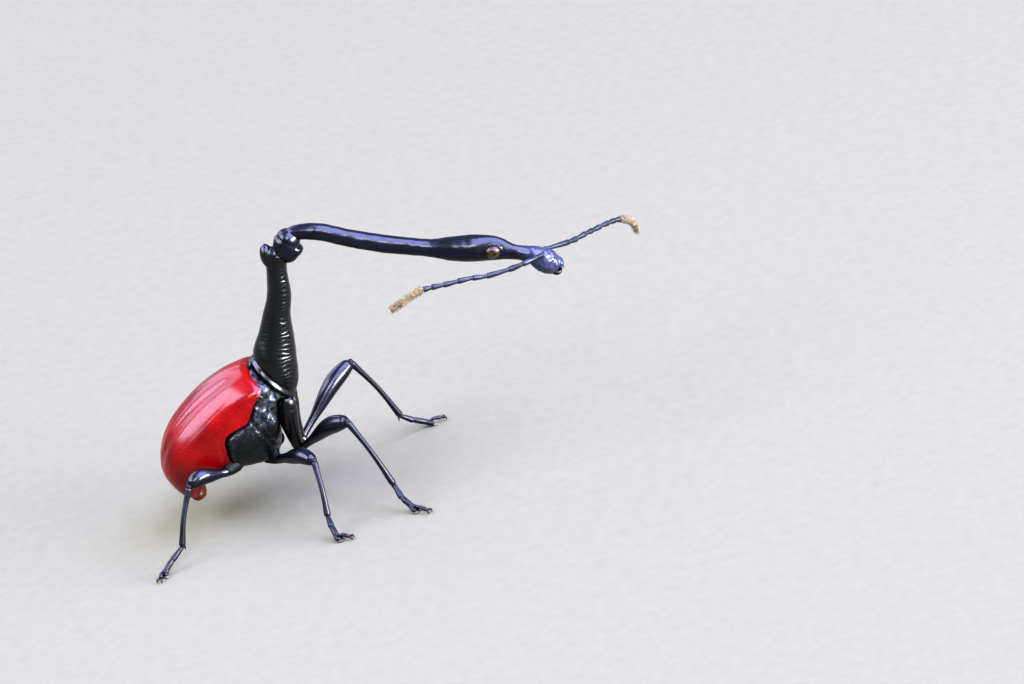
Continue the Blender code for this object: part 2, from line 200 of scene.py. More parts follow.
def light_panel(name, azimuth, elevation, size, colour, brightness):
    """A soft panel that faces the animal. Angles are in degrees, with 0 at the animal's right side."""
    side, height = math.radians(azimuth), math.radians(elevation)
    level = math.cos(height)
    away = Vector((math.sin(side) * level, -math.cos(side) * level, math.sin(height)))
    data = bpy.data.lights.new(name, "AREA")
    data.shape = "RECTANGLE"
    data.size, data.size_y = (length * MM for length in size)
    data.color = linear(colour)[:3]
    data.energy = brightness * math.pi * data.size * data.size_y
    panel = bpy.data.objects.new(name, data)
    panel.location = (Vector(LOOK_AT) + away * PANEL_DISTANCE) * MM
    panel.rotation_euler = away.to_track_quat("Z", "Y").to_euler()
    panel.visible_camera = False
    bpy.context.scene.collection.objects.link(panel)


for name, settings in PANELS.items():
    light_panel(name, *settings)
world = bpy.data.worlds.new("studio")
world.use_nodes = True
room = world.node_tree.nodes["Background"]
room.inputs["Color"].default_value = linear(ROOM_COLOUR)
room.inputs["Strength"].default_value = ROOM_BRIGHTNESS
bpy.context.scene.world = world
bpy.context.scene.view_settings.view_transform = "Standard"
bpy.context.scene.view_settings.look = "High Contrast"
print("panels:", ", ".join(PANELS))

# %% [markdown]
# ## Finishes of shell
#
# Insect shell is hardened chitin, IOR about 1.56, laid down in thin layers under a hard waxy skin. It is
# never metal here: the colour sits below a clear gloss, as in lacquer. So each finish is a coloured base
# with fine relief and a clear coat, both with chitin's IOR. The base's own gloss is turned down, because its
# wide soft shine would lie over red and black as a haze. The relief is a height map made of noise and cells
# whose sizes are real ones in millimetres.

# %% A shell finish
CHITIN_IOR = 1.56
MOTTLE_RANGE = (0.35, 0.68)
FINISHES = {}


def finish(name, dark, light, patch, roughness, coat=0.0, coat_roughness=0.1, gloss=0.25):
    """A new material with a soft mottle between two colours. Patch is the mottle's size in millimetres."""
    material = bpy.data.materials.new(name)
    material.use_nodes = True
    tree = material.node_tree
    place = add(tree, "TexCoord").outputs["Object"]
    mottle = add(tree, "TexNoise", {"Vector": place, "Scale": per(patch), "Detail": 3.0})
    tone = add(tree, "ValToRGB", {"Fac": mottle.outputs[0]})
    for end, position, colour in zip(tone.color_ramp.elements, MOTTLE_RANGE, (dark, light)):
        end.position = position
        end.color = linear(colour)
    shader = tree.nodes["Principled BSDF"]
    tree.links.new(tone.outputs[0], shader.inputs["Base Color"])
    shader.inputs["Roughness"].default_value = roughness
    shader.inputs["IOR"].default_value = CHITIN_IOR
    shader.inputs["Specular IOR Level"].default_value = gloss
    shader.inputs["Coat Weight"].default_value = coat
    shader.inputs["Coat Roughness"].default_value = coat_roughness
    shader.inputs["Coat IOR"].default_value = CHITIN_IOR
    FINISHES[name] = material
    return tree, place, shader, tone


def relief(tree, shader, heights, depth):
    """Adds up height patterns of 0 to 1 and bumps the surface by them. Depth is in millimetres."""
    total = heights[0]
    for height in heights[1:]:
        total = add(tree, "Math", {0: total, 1: height}, operation="ADD").outputs[0]
    bump = add(tree, "Bump", {"Height": total, "Distance": depth * MM, "Strength": 1.0})
    tree.links.new(bump.outputs[0], shader.inputs["Normal"])
    return bump


def pits(tree, place, spacing, width):
    """Round pits at random places, in millimetres: 0 in the middle of a pit and 1 between them."""
    cells = add(tree, "TexVoronoi", {"Vector": place, "Scale": per(spacing), "Randomness": 0.8})
    edge = add(tree, "MapRange", {"Value": cells.outputs["Distance"], "From Max": width / spacing},
               interpolation_type="SMOOTHSTEP")
    return edge.outputs[0]


def grain(tree, place, size, share):
    """Fine uneven grain of this size in millimetres, as a share of the relief's depth."""
    noise_node = add(tree, "TexNoise", {"Vector": place, "Scale": per(size), "Detail": 4.0})
    return add(tree, "Math", {0: noise_node.outputs[0], 1: share}, operation="MULTIPLY").outputs[0]


print("chitin IOR", CHITIN_IOR)

# %% [markdown]
# ## The red of the wing cases
#
# The wing cases get their sealing wax red from a pigment in clear shell. Light comes back deep red from
# inside, and the top stays glossy. Ten rows of small punctures run along each case, and smaller ones lie
# between them. They break the white highlight into fine streaks. They could be modelled, but half a million
# faces would be needed, so a bump map does it. It reads a UV map that runs with the rows and counts
# punctures. They are drawn 0.17 mm apart, a little wider than life, so that they show.

# %% Red wing case shell
PUNCTURE_SPACING = 0.17
PUNCTURE_SHARE = 0.42
tree, place, shader, tone = finish("red_wing_case", "#580001", "#780102", 1.6, 0.42, 0.62, 0.2, 0.06)
rows = add(tree, "UVMap", uv_map="PunctureRows").outputs[0]
cells = add(tree, "TexVoronoi", {"Vector": rows, "Scale": 1.0, "Randomness": 0.45})
dots = add(tree, "MapRange", {"Value": cells.outputs["Distance"], "From Max": PUNCTURE_SHARE},
           interpolation_type="SMOOTHSTEP").outputs[0]
relief(tree, shader, [dots, grain(tree, place, 0.05, 0.35)], 0.018)
print("punctures every", PUNCTURE_SPACING, "mm")

# %% [markdown]
# ## Black and blue-black shell
#
# The neck, chest and legs are black shell. Melanin colours it through, and on the head and legs a thin top
# layer scatters some blue, which is why they look violet under a bright sky. The neck's fine cross wrinkles
# are real shape further down. The chest has a pit about every 0.14 mm, and a painted silvery highlight lies
# in patches on its upper half. A painted map could hold them, but here noise draws them, and height above
# the ground fades the highlight out lower down. A grey-blue painted sheen of sky light lies in the same way
# on the snout's base colour, starting in front of the eyes.

# %% Neck and chest shell
# Painted highlight: a lighter silvery grey mixed into the chest's dark base colour in patches, standing in
# for the shine of light on its pitted upper half.
PAINTED_SILVER_HIGHLIGHT = "#34393B"
PAINTED_HIGHLIGHT_PATCH = 0.22
PAINTED_HIGHLIGHT_HEIGHTS = (4.2 * MM, 5.4 * MM)
tree, place, shader, tone = finish("black_neck_shell", "#030403", "#070908", 0.8, 0.34, 0.75, 0.26, 0.08)
relief(tree, shader, [grain(tree, place, 0.09, 1.0)], 0.006)

tree, place, shader, tone = finish("pitted_chest_shell", "#020403", "#0A0D0C", 0.5, 0.34, 0.25, 0.22)
relief(tree, shader, [pits(tree, place, 0.14, 0.07), grain(tree, place, 0.3, 1.4)], 0.015)
# Height above the ground keeps the painted highlight to the upper half of the chest.
height = add(tree, "SeparateXYZ", {0: place}).outputs[2]
low, high = PAINTED_HIGHLIGHT_HEIGHTS
upper = add(tree, "MapRange", {"Value": height, "From Min": low, "From Max": high}).outputs[0]
patches = add(tree, "TexNoise", {"Vector": place, "Scale": per(PAINTED_HIGHLIGHT_PATCH), "Detail": 3.0}).outputs[0]
bare = add(tree, "MapRange", {"Value": patches, "From Min": 0.38, "From Max": 0.62}).outputs[0]
share = add(tree, "Math", {0: upper, 1: bare}, operation="MULTIPLY").outputs[0]
painted_highlight = add(tree, "Mix", {0: share, 6: tone.outputs[0], 7: linear(PAINTED_SILVER_HIGHLIGHT)}, data_type="RGBA")
tree.links.new(painted_highlight.outputs[2], shader.inputs["Base Color"])
print("silver patches of", PAINTED_HIGHLIGHT_PATCH, "mm")

# %% Head and thigh shell
# Painted sheen: the snout's base colour is lifted to grey-blue in front of the eyes, standing in for sky
# light reflected off its fine surface.
PAINTED_SNOUT_SHEEN = "#2F3344"
SNOUT_SHEEN_STARTS = (7.1 * MM, 8.3 * MM)
tree, place, shader, tone = finish("blue_black_shell", "#020306", "#090B1A", 0.7, 0.45, 0.62, 0.22, 0.08)
relief(tree, shader, [pits(tree, place, 0.11, 0.05), grain(tree, place, 0.06, 0.6)], 0.005)
# Position along the body fades the painted sheen in on the snout.
forward = add(tree, "SeparateXYZ", {0: place}).outputs[0]
low, high = SNOUT_SHEEN_STARTS
on_snout = add(tree, "MapRange", {"Value": forward, "From Min": low, "From Max": high}).outputs[0]
painted_sheen = add(tree, "Mix", {0: on_snout, 6: tone.outputs[0], 7: linear(PAINTED_SNOUT_SHEEN)}, data_type="RGBA")
tree.links.new(painted_sheen.outputs[2], shader.inputs["Base Color"])
print("snout bloom", round(1000 * low, 1), "to", round(1000 * high, 1), "mm forward")

# %% [markdown]
# ## Shins, hips, belly and tail
#
# Four more finishes of the same make. Shins and feet are duller than thighs, because they rub on the ground
# and carry fine hairs. Hips are bare black shell without the clear top. The belly plates have a brown cast
# where the shell is thin, and the tail plate is rust brown. One material could be shared, but a small model
# seen this close needs these differences, or it looks cast in one piece.

# %% Shin, hip, belly and tail shell
tree, place, shader, tone = finish("shin_shell", "#030407", "#0B0D19", 0.5, 0.45, 0.5, 0.36, 0.1)
relief(tree, shader, [pits(tree, place, 0.11, 0.05), grain(tree, place, 0.06, 0.8)], 0.006)

tree, place, shader, tone = finish("hip_shell", "#040404", "#0A0A0B", 0.4, 0.6)
relief(tree, shader, [pits(tree, place, 0.12, 0.05), grain(tree, place, 0.06, 0.8)], 0.008)

tree, place, shader, tone = finish("belly_plate_shell", "#050404", "#130C09", 0.6, 0.4, 0.2, 0.2)
relief(tree, shader, [pits(tree, place, 0.16, 0.06), grain(tree, place, 0.07, 0.5)], 0.008)

tree, place, shader, tone = finish("tail_plate_shell", "#3C1306", "#642808", 0.5, 0.45, 0.12, 0.25)
relief(tree, shader, [pits(tree, place, 0.12, 0.05), grain(tree, place, 0.05, 0.5)], 0.01)
print("shell finishes:", len(FINISHES))

# %% [markdown]
# ## Feelers, eyes, joints, pads and claws
#
# The feeler's thread is blue-grey and dull. Its club is covered in a tan pile of very short sense hairs, so
# it is rough with a soft sheen. The eye is a dome of tiny lenses. A real lens is 0.02 mm wide, too fine to
# show at this distance, so they are drawn 0.045 mm wide. The soft skin between two joints and the pads
# under the feet have no hard layer, so they are matt.

# %% Feeler, eye and foot finishes
tree, place, shader, tone = finish("feeler_thread", "#0B0F14", "#232A33", 0.25, 0.45, 0.4, 0.25, 0.15)
relief(tree, shader, [grain(tree, place, 0.04, 1.0)], 0.008)

tree, place, shader, tone = finish("feeler_club_pile", "#584429", "#7A6C47", 0.14, 0.85)
relief(tree, shader, [grain(tree, place, 0.025, 1.0)], 0.02)
shader.inputs["Sheen Weight"].default_value = 0.35
shader.inputs["Sheen Roughness"].default_value = 0.5

EYE_LENS = 0.045
tree, place, shader, tone = finish("eye_lenses", "#1A1008", "#46331C", 0.2, 0.25, 0.4, 0.14)
lenses = add(tree, "TexVoronoi", {"Vector": place, "Scale": per(EYE_LENS), "Randomness": 0.15})
domes = add(tree, "Math", {0: 1.0, 1: lenses.outputs["Distance"]}, operation="SUBTRACT").outputs[0]
relief(tree, shader, [domes], 0.012)

tree, place, shader, tone = finish("joint_skin", "#0C0908", "#1D130F", 0.1, 0.55)
relief(tree, shader, [grain(tree, place, 0.04, 1.0)], 0.01)

tree, place, shader, tone = finish("foot_pad_pile", "#443931", "#796C5F", 0.06, 0.9)
relief(tree, shader, [grain(tree, place, 0.025, 1.0)], 0.02)

tree, place, shader, tone = finish("claw_horn", "#080504", "#180D09", 0.15, 0.3, 0.2, 0.15)
relief(tree, shader, [grain(tree, place, 0.03, 1.0)], 0.004)

tree, place, shader, tone = finish("pale_bristle", "#524934", "#7F7455", 0.2, 0.5)
relief(tree, shader, [grain(tree, place, 0.02, 1.0)], 0.002)
print("all finishes:", ", ".join(FINISHES))

# %% [markdown]
# ## From a few rows to a surface
#
# Every plate here is a loft: rings of points along a smooth curve, joined by faces. The curve runs through
# a few rows of sizes, so a form can be tuned by changing one number. All shapes are worked out in
# millimetres from the middle of the chest, then moved to the animal's standing place and turned into metres.

# %% Curves
STANDING_PLACE = np.array((-5.87, -0.16, 0.0))


def along(rows, shares):
    """The values at shares from 0 to 1 of the smooth curve through evenly spaced rows."""
    rows = np.asarray(rows, float).reshape(len(rows), -1)
    position = np.clip(np.asarray(shares, float), 0, 1) * (len(rows) - 1)
    first = np.minimum(position.astype(int), len(rows) - 2)
    part = (position - first)[..., None]
    rows = np.vstack((2 * rows[0] - rows[1], rows, 2 * rows[-1] - rows[-2]))
    before, start, end, after = (rows[first + i] for i in range(4))
    bend = 2 * before - 5 * start + 4 * end - after + part * (3 * (start - end) + after - before)
    return start + 0.5 * part * (end - before + part * bend)


def unit(vectors):
    """The same directions, each with length 1. One without length stays as it is."""
    vectors = np.asarray(vectors, float)
    return vectors / np.maximum(np.linalg.norm(vectors, axis=-1, keepdims=True), 1e-12)


def swell(value, middle, width):
    """A smooth hump of height 1 around a middle."""
    return np.exp(-(((value - middle) / width) ** 2))


def ease(value, low, high):
    """A smooth step from 0 at low to 1 at high."""
    share = np.clip((value - low) / (high - low), 0, 1)
    return share * share * (3 - 2 * share)


print("curve test:", along(((0,), (1,), (2,)), np.array((0.25,)))[0])

# %% Closed forms
def sweep(path, radii, sides=32, wide=1.0):
    """Rings square to a path. Wide narrows or widens them sideways."""
    tangents = unit(np.gradient(path, axis=0))
    across = np.cross(tangents[0], (0.0, 0.0, 1.0))
    if np.linalg.norm(across) < 0.2:
        across = np.array((0.0, 1.0, 0.0))
    turn = np.linspace(0, 2 * math.pi, sides, endpoint=False)
    radii = np.broadcast_to(np.reshape(radii, (len(path), -1)), (len(path), sides))
    wide = np.broadcast_to(wide, len(path))
    rings = []
    for i, forward in enumerate(tangents):
        across = unit(across - (across @ forward) * forward)
        up = np.cross(across, forward)
        ring = np.outer(radii[i] * wide[i] * np.cos(turn), across) + np.outer(radii[i] * np.sin(turn), up)
        rings.append(path[i] + ring)
    return np.array(rings)


def loft(rings):
    """Points and faces of a stack of rings, closed at both ends."""
    stack, sides, _ = rings.shape
    index = np.arange(stack * sides).reshape(stack, sides)
    after = np.roll(index, -1, axis=1)
    faces = np.stack((index[:-1], after[:-1], after[1:], index[1:]), axis=-1).reshape(-1, 4).tolist()
    return rings.reshape(-1, 3), faces + [index[0][::-1].tolist(), index[-1].tolist()]


def limb(route, radii, sides=28, count=48, start=1.0, end=1.0):
    """A closed round limb along a route. Start and end say how long each rounded tip is, in radii."""
    shares = 0.5 - 0.5 * np.cos(np.linspace(0, math.pi, count))
    path = along(route, shares)
    size = along(radii, shares)[:, 0]
    length = np.linalg.norm(np.diff(path, axis=0), axis=1).sum()
    tips = [(size[0] * start, shares), (size[-1] * end, 1 - shares)]
    for reach, distance in tips:
        size = size * np.sqrt(1 - (1 - np.clip(distance * length / reach, 0, 1)) ** 2)
    return loft(sweep(path, np.maximum(size, 0.003), sides))


def egg(centre, radii, sides=32, rows=20, turn=None):
    """A closed egg. Turn is a matrix that tilts it."""
    high = np.linspace(0.02, math.pi - 0.02, rows)
    around = np.linspace(0, 2 * math.pi, sides, endpoint=False)
    flat = np.stack(np.broadcast_arrays(
        np.sin(high)[:, None] * np.cos(around),
        np.sin(high)[:, None] * np.sin(around),
        -np.cos(high)[:, None],
    ), axis=-1)
    points = flat * np.asarray(radii)
    if turn is not None:
        points = points @ np.asarray(turn).T
    return loft(points + np.asarray(centre))


def tilt(angle):
    """A turn about the side axis that lifts +X."""
    cos, sin = math.cos(angle), math.sin(angle)
    return np.array(((cos, 0, -sin), (0, 1, 0), (sin, 0, cos)))


print("an egg has", len(egg((0, 0, 0), (1, 1, 1))[0]), "points")

# %% [markdown]
# ## Making a piece, and fusing shapes
#
# A piece is one mesh object. It rides on the animal's body, hides the solid that it stands for, and takes
# one finish. Where plates melt into one another, such as the cheek into the snout, a Boolean would leave a
# crease. Voxel remeshing wraps one even skin round all the shapes instead, and a few rounds of smoothing
# blend the joins.

# %% Pieces
PIECES = []


def bare_mesh(name, shapes, scale=1.0, shift=0.0):
    """One mesh from several closed shapes, with every face turned outwards."""
    points, faces, count = [], [], 0
    for shape_points, shape_faces in shapes:
        points.append((np.asarray(shape_points) + shift) * scale)
        faces += [[corner + count for corner in face] for face in shape_faces]
        count += len(shape_points)
    mesh = bpy.data.meshes.new(name)
    mesh.from_pydata(np.vstack(points).tolist(), [], faces)
    work = bmesh.new()
    work.from_mesh(mesh)
    bmesh.ops.recalc_face_normals(work, faces=work.faces)
    work.to_mesh(mesh)
    work.free()
    return mesh


def make_piece(name, shapes, finish_name, slot, *stands_for):
    """One object that rides on the animal, from closed shapes in millimetres."""
    mesh = bare_mesh(name, shapes, MM, STANDING_PLACE)
    mesh.materials.append(FINISHES[finish_name])
    mesh.shade_smooth()
    piece = bpy.data.objects.new(name, mesh)
    bpy.context.scene.collection.objects.link(piece)
    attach(piece, "root")
    if stands_for:
        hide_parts(*stands_for)
    PIECES.append(piece)
    return piece


print("pieces stand at", STANDING_PLACE, "mm")

# %% Fused skins
def fuse(shapes, voxel=0.03, rounds=6):
    """One even skin round overlapping closed shapes, as points, outward normals and faces in millimetres."""
    mesh = bare_mesh("fused", shapes)
    work = bpy.data.objects.new("fused", mesh)
    bpy.context.scene.collection.objects.link(work)
    wrap = work.modifiers.new("wrap", "REMESH")
    wrap.mode = "VOXEL"
    wrap.voxel_size = voxel
    even = work.modifiers.new("even", "SMOOTH")
    even.factor = 0.5
    even.iterations = rounds
    graph = bpy.context.evaluated_depsgraph_get()
    skin = bpy.data.meshes.new_from_object(work.evaluated_get(graph))
    points = np.array([vertex.co for vertex in skin.vertices])
    normals = np.array([vertex.normal for vertex in skin.vertices])
    faces = [list(face.vertices) for face in skin.polygons]
    bpy.data.objects.remove(work, do_unlink=True)
    return points, normals, faces


def noise_at(points, size, seed=0.0):
    """Smooth noise from -1 to 1 at each point. Size is in millimetres."""
    return np.array([noise.noise(Vector(point) / size + Vector((seed, 0, 0))) for point in points])


print("noise at one place:", round(float(noise_at(np.array([[0.3, 0.2, 0.1]]), 1.0)[0]), 3))

# %% [markdown]
# ## The form of the hind body
#
# Chest, belly and wing cases share one form, so one function gives a point of it from two numbers: how
# far back it lies, and how far round it is from the seam on the back. Each plate then takes its own part of
# that form, sunk in or raised by a little. Separate lofts would have to be fitted to one another, while
# these fit because they come from the same rows. A row holds x and z of the back, x and z of the belly and
# the half width. The wing case's lower edge is a row of angles in degrees.

# %% Hind body form
HULL = (
    (-0.55, 7.28, 0.45, 5.25, 1.95),
    (-1.90, 7.08, 0.12, 3.55, 2.25),
    (-3.55, 6.32, -0.35, 2.52, 2.40),
    (-5.10, 5.05, -1.60, 2.52, 2.36),
    (-5.87, 3.55, -2.90, 2.42, 2.12),
    (-5.62, 2.35, -3.85, 1.85, 1.58),
    (-5.02, 1.55, -4.40, 1.20, 0.85),
)
HULL_SQUARENESS = 2.25
WING_CASE_EDGE = (80, 91, 84, 117, 117, 116, 118)


def squared(angles, squareness):
    """The height and width of a ring from -1 to 1. A squareness of 2 is an ellipse, and more is boxier."""
    power = 2 / squareness
    high = np.sign(np.cos(angles)) * np.abs(np.cos(angles)) ** power
    wide = np.sign(np.sin(angles)) * np.abs(np.sin(angles)) ** power
    return high, wide


def hull(shares, angles, inset=0.0):
    """Points of the form at shares of its length and angles from the back, sunk in by the inset."""
    shares, angles, inset = np.broadcast_arrays(shares, angles, inset)
    rows = along(HULL, shares)
    level = np.zeros_like(rows[..., 0])
    back = np.stack((rows[..., 0], level, rows[..., 1]), axis=-1)
    belly = np.stack((rows[..., 2], level, rows[..., 3]), axis=-1)
    height = np.linalg.norm(back - belly, axis=-1) / 2
    high, wide = squared(angles, HULL_SQUARENESS)
    inset = np.minimum(inset, 0.7 * np.minimum(height, rows[..., 4]))
    lift = unit(back - belly) * ((height - inset) * high)[..., None]
    return (back + belly) / 2 + lift + np.array((0, 1, 0)) * ((rows[..., 4] - inset) * wide)[..., None]


def edge_angle(shares):
    """How far round the form the wing case reaches, in radians from the seam."""
    return np.radians(along(WING_CASE_EDGE, shares)[..., 0])


print("hind body half width at its middle:", round(float(hull(0.5, math.pi / 2)[1]), 2), "mm")

# %% [markdown]
# ## The wing cases
#
# Each wing case is a hardened fore wing, 0.3 mm thick, that rolls over at its front and tip. A cube with
# subdivision could be pushed into shape, but a grid that follows the rows of punctures gives clean ridges.
# The height of every grid point is a sum of small forms: a groove for each row, a long hollow beside the
# seam ridge, the shoulder hump, and a raised rim.

# %% Height of a wing case
WING_CASE_END = 0.955
WING_CASE_THICKNESS = 0.28
ROW_COUNT = 10
LAST_ROW_ANGLE = math.radians(112)
SHOULDER = np.array((0.30, 0.0, -0.08))
SEAM_GAP = 0.02


def wing_case_height(share, turn, lane):
    """How far the shell stands off the form. Turn is 0 at the seam and 1 at the edge. Lane counts rows."""
    grooved = ease(share, 0.05, 0.16) * (1 - ease(share, 0.70, 0.90))
    grooved = grooved * ease(lane, 0.4, 1.0) * (1 - ease(turn, 0.8, 0.95))
    grooves = 0.004 * grooved * np.exp(-(((lane - np.round(lane)) / 0.2) ** 2))
    hollow = 0.10 * swell(lane, 2.4, 0.7) * ease(share, 0.04, 0.22) * (1 - ease(share, 0.45, 0.75))
    seam_ridge = 0.025 * swell(lane, 0.0, 0.28)
    hump = 0.12 * swell(share, 0.09, 0.08) * swell(lane, 6.3, 1.5)
    rim = 0.03 * swell(turn, 1.0, 0.025) - 0.015 * swell(turn, 0.94, 0.02)
    front = 1 - np.clip(share / 0.045, 0, 1)
    tip = 1 - np.clip((WING_CASE_END - share) / 0.05, 0, 1)
    roll = 0.26 * (1 - np.sqrt(1 - front**2)) + 0.22 * (1 - np.sqrt(1 - tip**2))
    return seam_ridge + hump + rim - grooves - hollow - roll - 0.05


print("shoulder hump stands off by", round(float(wing_case_height(0.09, 0.5, 6.3)), 3), "mm")

# %% Wing cases
def wing_case(side):
    """One wing case: an outer and an inner sheet, joined along their edges."""
    sign = 1 if side == "left" else -1
    steps, around = 260, 121
    share = (WING_CASE_END * (0.5 - 0.5 * np.cos(np.linspace(0, math.pi, steps))))[:, None]
    turn = np.linspace(0, 1, around)[None, :]
    angle = edge_angle(share) * turn
    lane = ROW_COUNT * angle / LAST_ROW_ANGLE
    layers = []
    for sunk in (-wing_case_height(share, turn, lane), WING_CASE_THICKNESS + 0.02 * turn):
        grid = hull(share, angle, sunk)
        grid = grid + SHOULDER * (swell(lane, 6.2, 2.2) * (1 - ease(share, 0.0, 0.16)))[..., None]
        grid[..., 1] = sign * np.maximum(grid[..., 1], SEAM_GAP / 2)
        layers.append(grid)
    index = np.arange(2 * steps * around).reshape(2, steps, around)
    faces = []
    for sheet in index:
        corners = (sheet[:-1, :-1], sheet[1:, :-1], sheet[1:, 1:], sheet[:-1, 1:])
        faces += np.stack(corners, axis=-1).reshape(-1, 4).tolist()
    outline = [index[:, :, 0], index[:, :, -1], index[:, 0, :], index[:, -1, :]]
    for outer, inner in outline:
        faces += np.stack((outer[:-1], outer[1:], inner[1:], inner[:-1]), axis=-1).tolist()
    shell = (np.concatenate([grid.reshape(-1, 3) for grid in layers]), faces)
    piece = make_piece("wing_case_" + side, [shell], "red_wing_case", "shell_red", "elytron_" + side)
    lay_puncture_rows(piece, layers[0], lane)
    return piece


def lay_puncture_rows(piece, grid, lane):
    """A UV map that counts punctures: two for each row across, and one for each spacing along."""
    middle = grid[:, grid.shape[1] // 2]
    run = np.concatenate(([0], np.cumsum(np.linalg.norm(np.diff(middle, axis=0), axis=1))))
    uv = np.zeros((2,) + lane.shape + (2,))
    uv[..., 0] = lane * 2
    uv[..., 1] = (run / PUNCTURE_SPACING)[None, :, None]
    uv = uv.reshape(-1, 2)
    layer = piece.data.uv_layers.new(name="PunctureRows")
    corners = np.zeros(len(piece.data.loops), int)
    piece.data.loops.foreach_get("vertex_index", corners)
    layer.data.foreach_set("uv", uv[corners].ravel())


for side in ("left", "right"):
    piece = wing_case(side)
    print(piece.name, len(piece.data.polygons), "faces")

# %% [markdown]
# ## The chest
#
# The chest is three plates grown together: a narrow collar that takes the neck, a pitted side with a painted
# silvery highlight on its upper half, and a smooth breast. They could be separate shells, but on the beetle
# they are one box with seams pressed into it. So it is one loft whose depth changes: sunk under the wing
# cases, full below them, and grooved along each seam. Five low lumps on each side are fused on, and the
# whole skin is roughened a little. A small back plate sits between the wing cases' roots.

# %% Chest
CHEST_END = 0.60
UNDER_WING_CASES = 0.31
COLLAR_BASE = (-0.30, 7.12, 1.12, 5.12, 1.02)
DOME_RISE = 0.22


def flat_ring(row, angles):
    """An oval ring from x and z of its back and belly edges and its half width."""
    back, belly = np.array((row[0], 0.0, row[1])), np.array((row[2], 0.0, row[3]))
    high, wide = squared(angles, 2.0)
    return (back + belly) / 2 + np.outer(high, (back - belly) / 2) + np.outer(wide, (0, row[4], 0))


def body_inset(share, angle):
    """The depth under the outer form, the turn from the back, and 1 below the wing cases or 0 under them."""
    turn = np.abs((angle + math.pi) % (2 * math.pi) - math.pi)
    below = ease(turn - edge_angle(share), -0.02, 0.10)
    return UNDER_WING_CASES * (1 - below) + 0.04 * below, turn, below


def chest():
    """The loft of the chest: seams pressed into the form, and a low dome that closes its front."""
    angles = np.linspace(0, 2 * math.pi, 220, endpoint=False)[None, :]
    share = np.linspace(0, CHEST_END, 200)[:, None]
    inset, turn, below = body_inset(share, angles)
    side_seam = 0.07 * below * swell(turn, edge_angle(share) + 0.20, 0.035)
    slanting_seam = 0.08 * below * swell(share - 0.16 - 0.05 * (turn - 1.6), 0.0, 0.012)
    front_seam = 0.05 * below * swell(share, 0.065, 0.010)
    beside_edge = ease(share, 0.24, 0.30) * (1 - ease(share, 0.40, 0.46))
    edge_ridge = 0.07 * swell(turn, edge_angle(share) + 0.11, 0.045) * beside_edge
    breast_seam = 0.06 * swell(turn, math.pi, 0.03) * ease(share, 0.2, 0.3)
    inset = inset + side_seam + slanting_seam + front_seam - edge_ridge + breast_seam
    body = hull(share, angles, inset)
    dome = []
    base = flat_ring(COLLAR_BASE, angles[0])
    forward = unit(np.array((0.84, 0.0, 0.54)))
    for step in np.linspace(0.06, 1, 26)[::-1]:
        lean = math.sin(step * math.pi / 2)
        ring = body[0] * (1 - step) + base * step
        dome.append(ring + forward * DOME_RISE * (lean - step))
    return loft(np.concatenate((np.array(dome), body)))


shapes = [chest()]
print("chest loft:", len(shapes[0][0]), "points")

# %% Chest and back plate
CHEST_LUMPS = (
    ((-0.02, 1.50, 6.25), (0.46, 0.34, 0.42)),
    ((0.20, 1.28, 5.62), (0.36, 0.34, 0.40)),
    ((-0.40, 1.72, 5.42), (0.50, 0.34, 0.44)),
    ((-0.04, 1.50, 4.66), (0.34, 0.34, 0.52)),
    ((-1.72, 2.10, 4.02), (0.28, 0.24, 0.36)),
)
for place, radii in CHEST_LUMPS:
    shapes += [egg(np.array(place) * (1, sign, 1), radii, 24, 14) for sign in (-1, 1)]
points, normals, faces = fuse(shapes, 0.042, 5)
rise = 0.022 * noise_at(points, 0.32, 3.0) + 0.012 * noise_at(points, 0.13, 5.0)
plates = (points + normals * rise[:, None], faces)
piece = make_piece("chest_plates", [plates], "pitted_chest_shell", "shell_black", "thorax")
print(piece.name, len(piece.data.polygons), "faces")
points, faces = egg((-0.36, 0.0, 7.12), (0.34, 0.42, 0.16), turn=tilt(0.9))
rise = 0.015 * noise_at(points, 0.2, 1.0)
points = points + unit(points - points.mean(axis=0)) * rise[:, None]
make_piece("back_plate", [(points, faces)], "blue_black_shell", "shell_black")

# %% [markdown]
# ## The belly and the tail plate
#
# Below the wing cases the belly is four overlapping plates, like roof tiles that let it bend. Each plate
# rises a little towards its back edge and then steps down to the next. Four shells could be made, but a
# sawtooth in the depth of one loft gives the same look. The tail plate is a rust brown knob that just shows
# beneath the tips of the wing cases. It is one more plate, fused with an egg.

# %% Belly
BELLY_START = 0.575
BELLY_END = 0.80
BELLY_PLATES = 4
TAIL_END = 0.975
TAIL_RISE = 0.22
TAIL_PLACE = (-4.64, 0.0, 1.44)
TAIL_RADII = (0.40, 0.62, 0.40)


def belly(first, last, plates):
    """A closed loft of overlapping plates between two shares of the form's length."""
    angles = np.linspace(0, 2 * math.pi, 200, endpoint=False)[None, :]
    share = np.linspace(first, last, 34 * plates)[:, None]
    inset, turn, below = body_inset(share, angles)
    tile = (share - first) / (last - first) * plates % 1
    inset = inset + below * (0.07 - 0.07 * ease(tile, 0.0, 0.85) + 0.05 * swell(tile, 0.97, 0.05))
    inset = inset + below * TAIL_RISE * ease(share, 0.68, 0.84)
    rows = hull(share, angles, inset)
    middle = rows[-1].mean(axis=0)
    closing = [middle + (rows[-1] - middle) * size for size in (0.92, 0.75, 0.45, 0.12)]
    return loft(np.concatenate((rows, np.array(closing))))


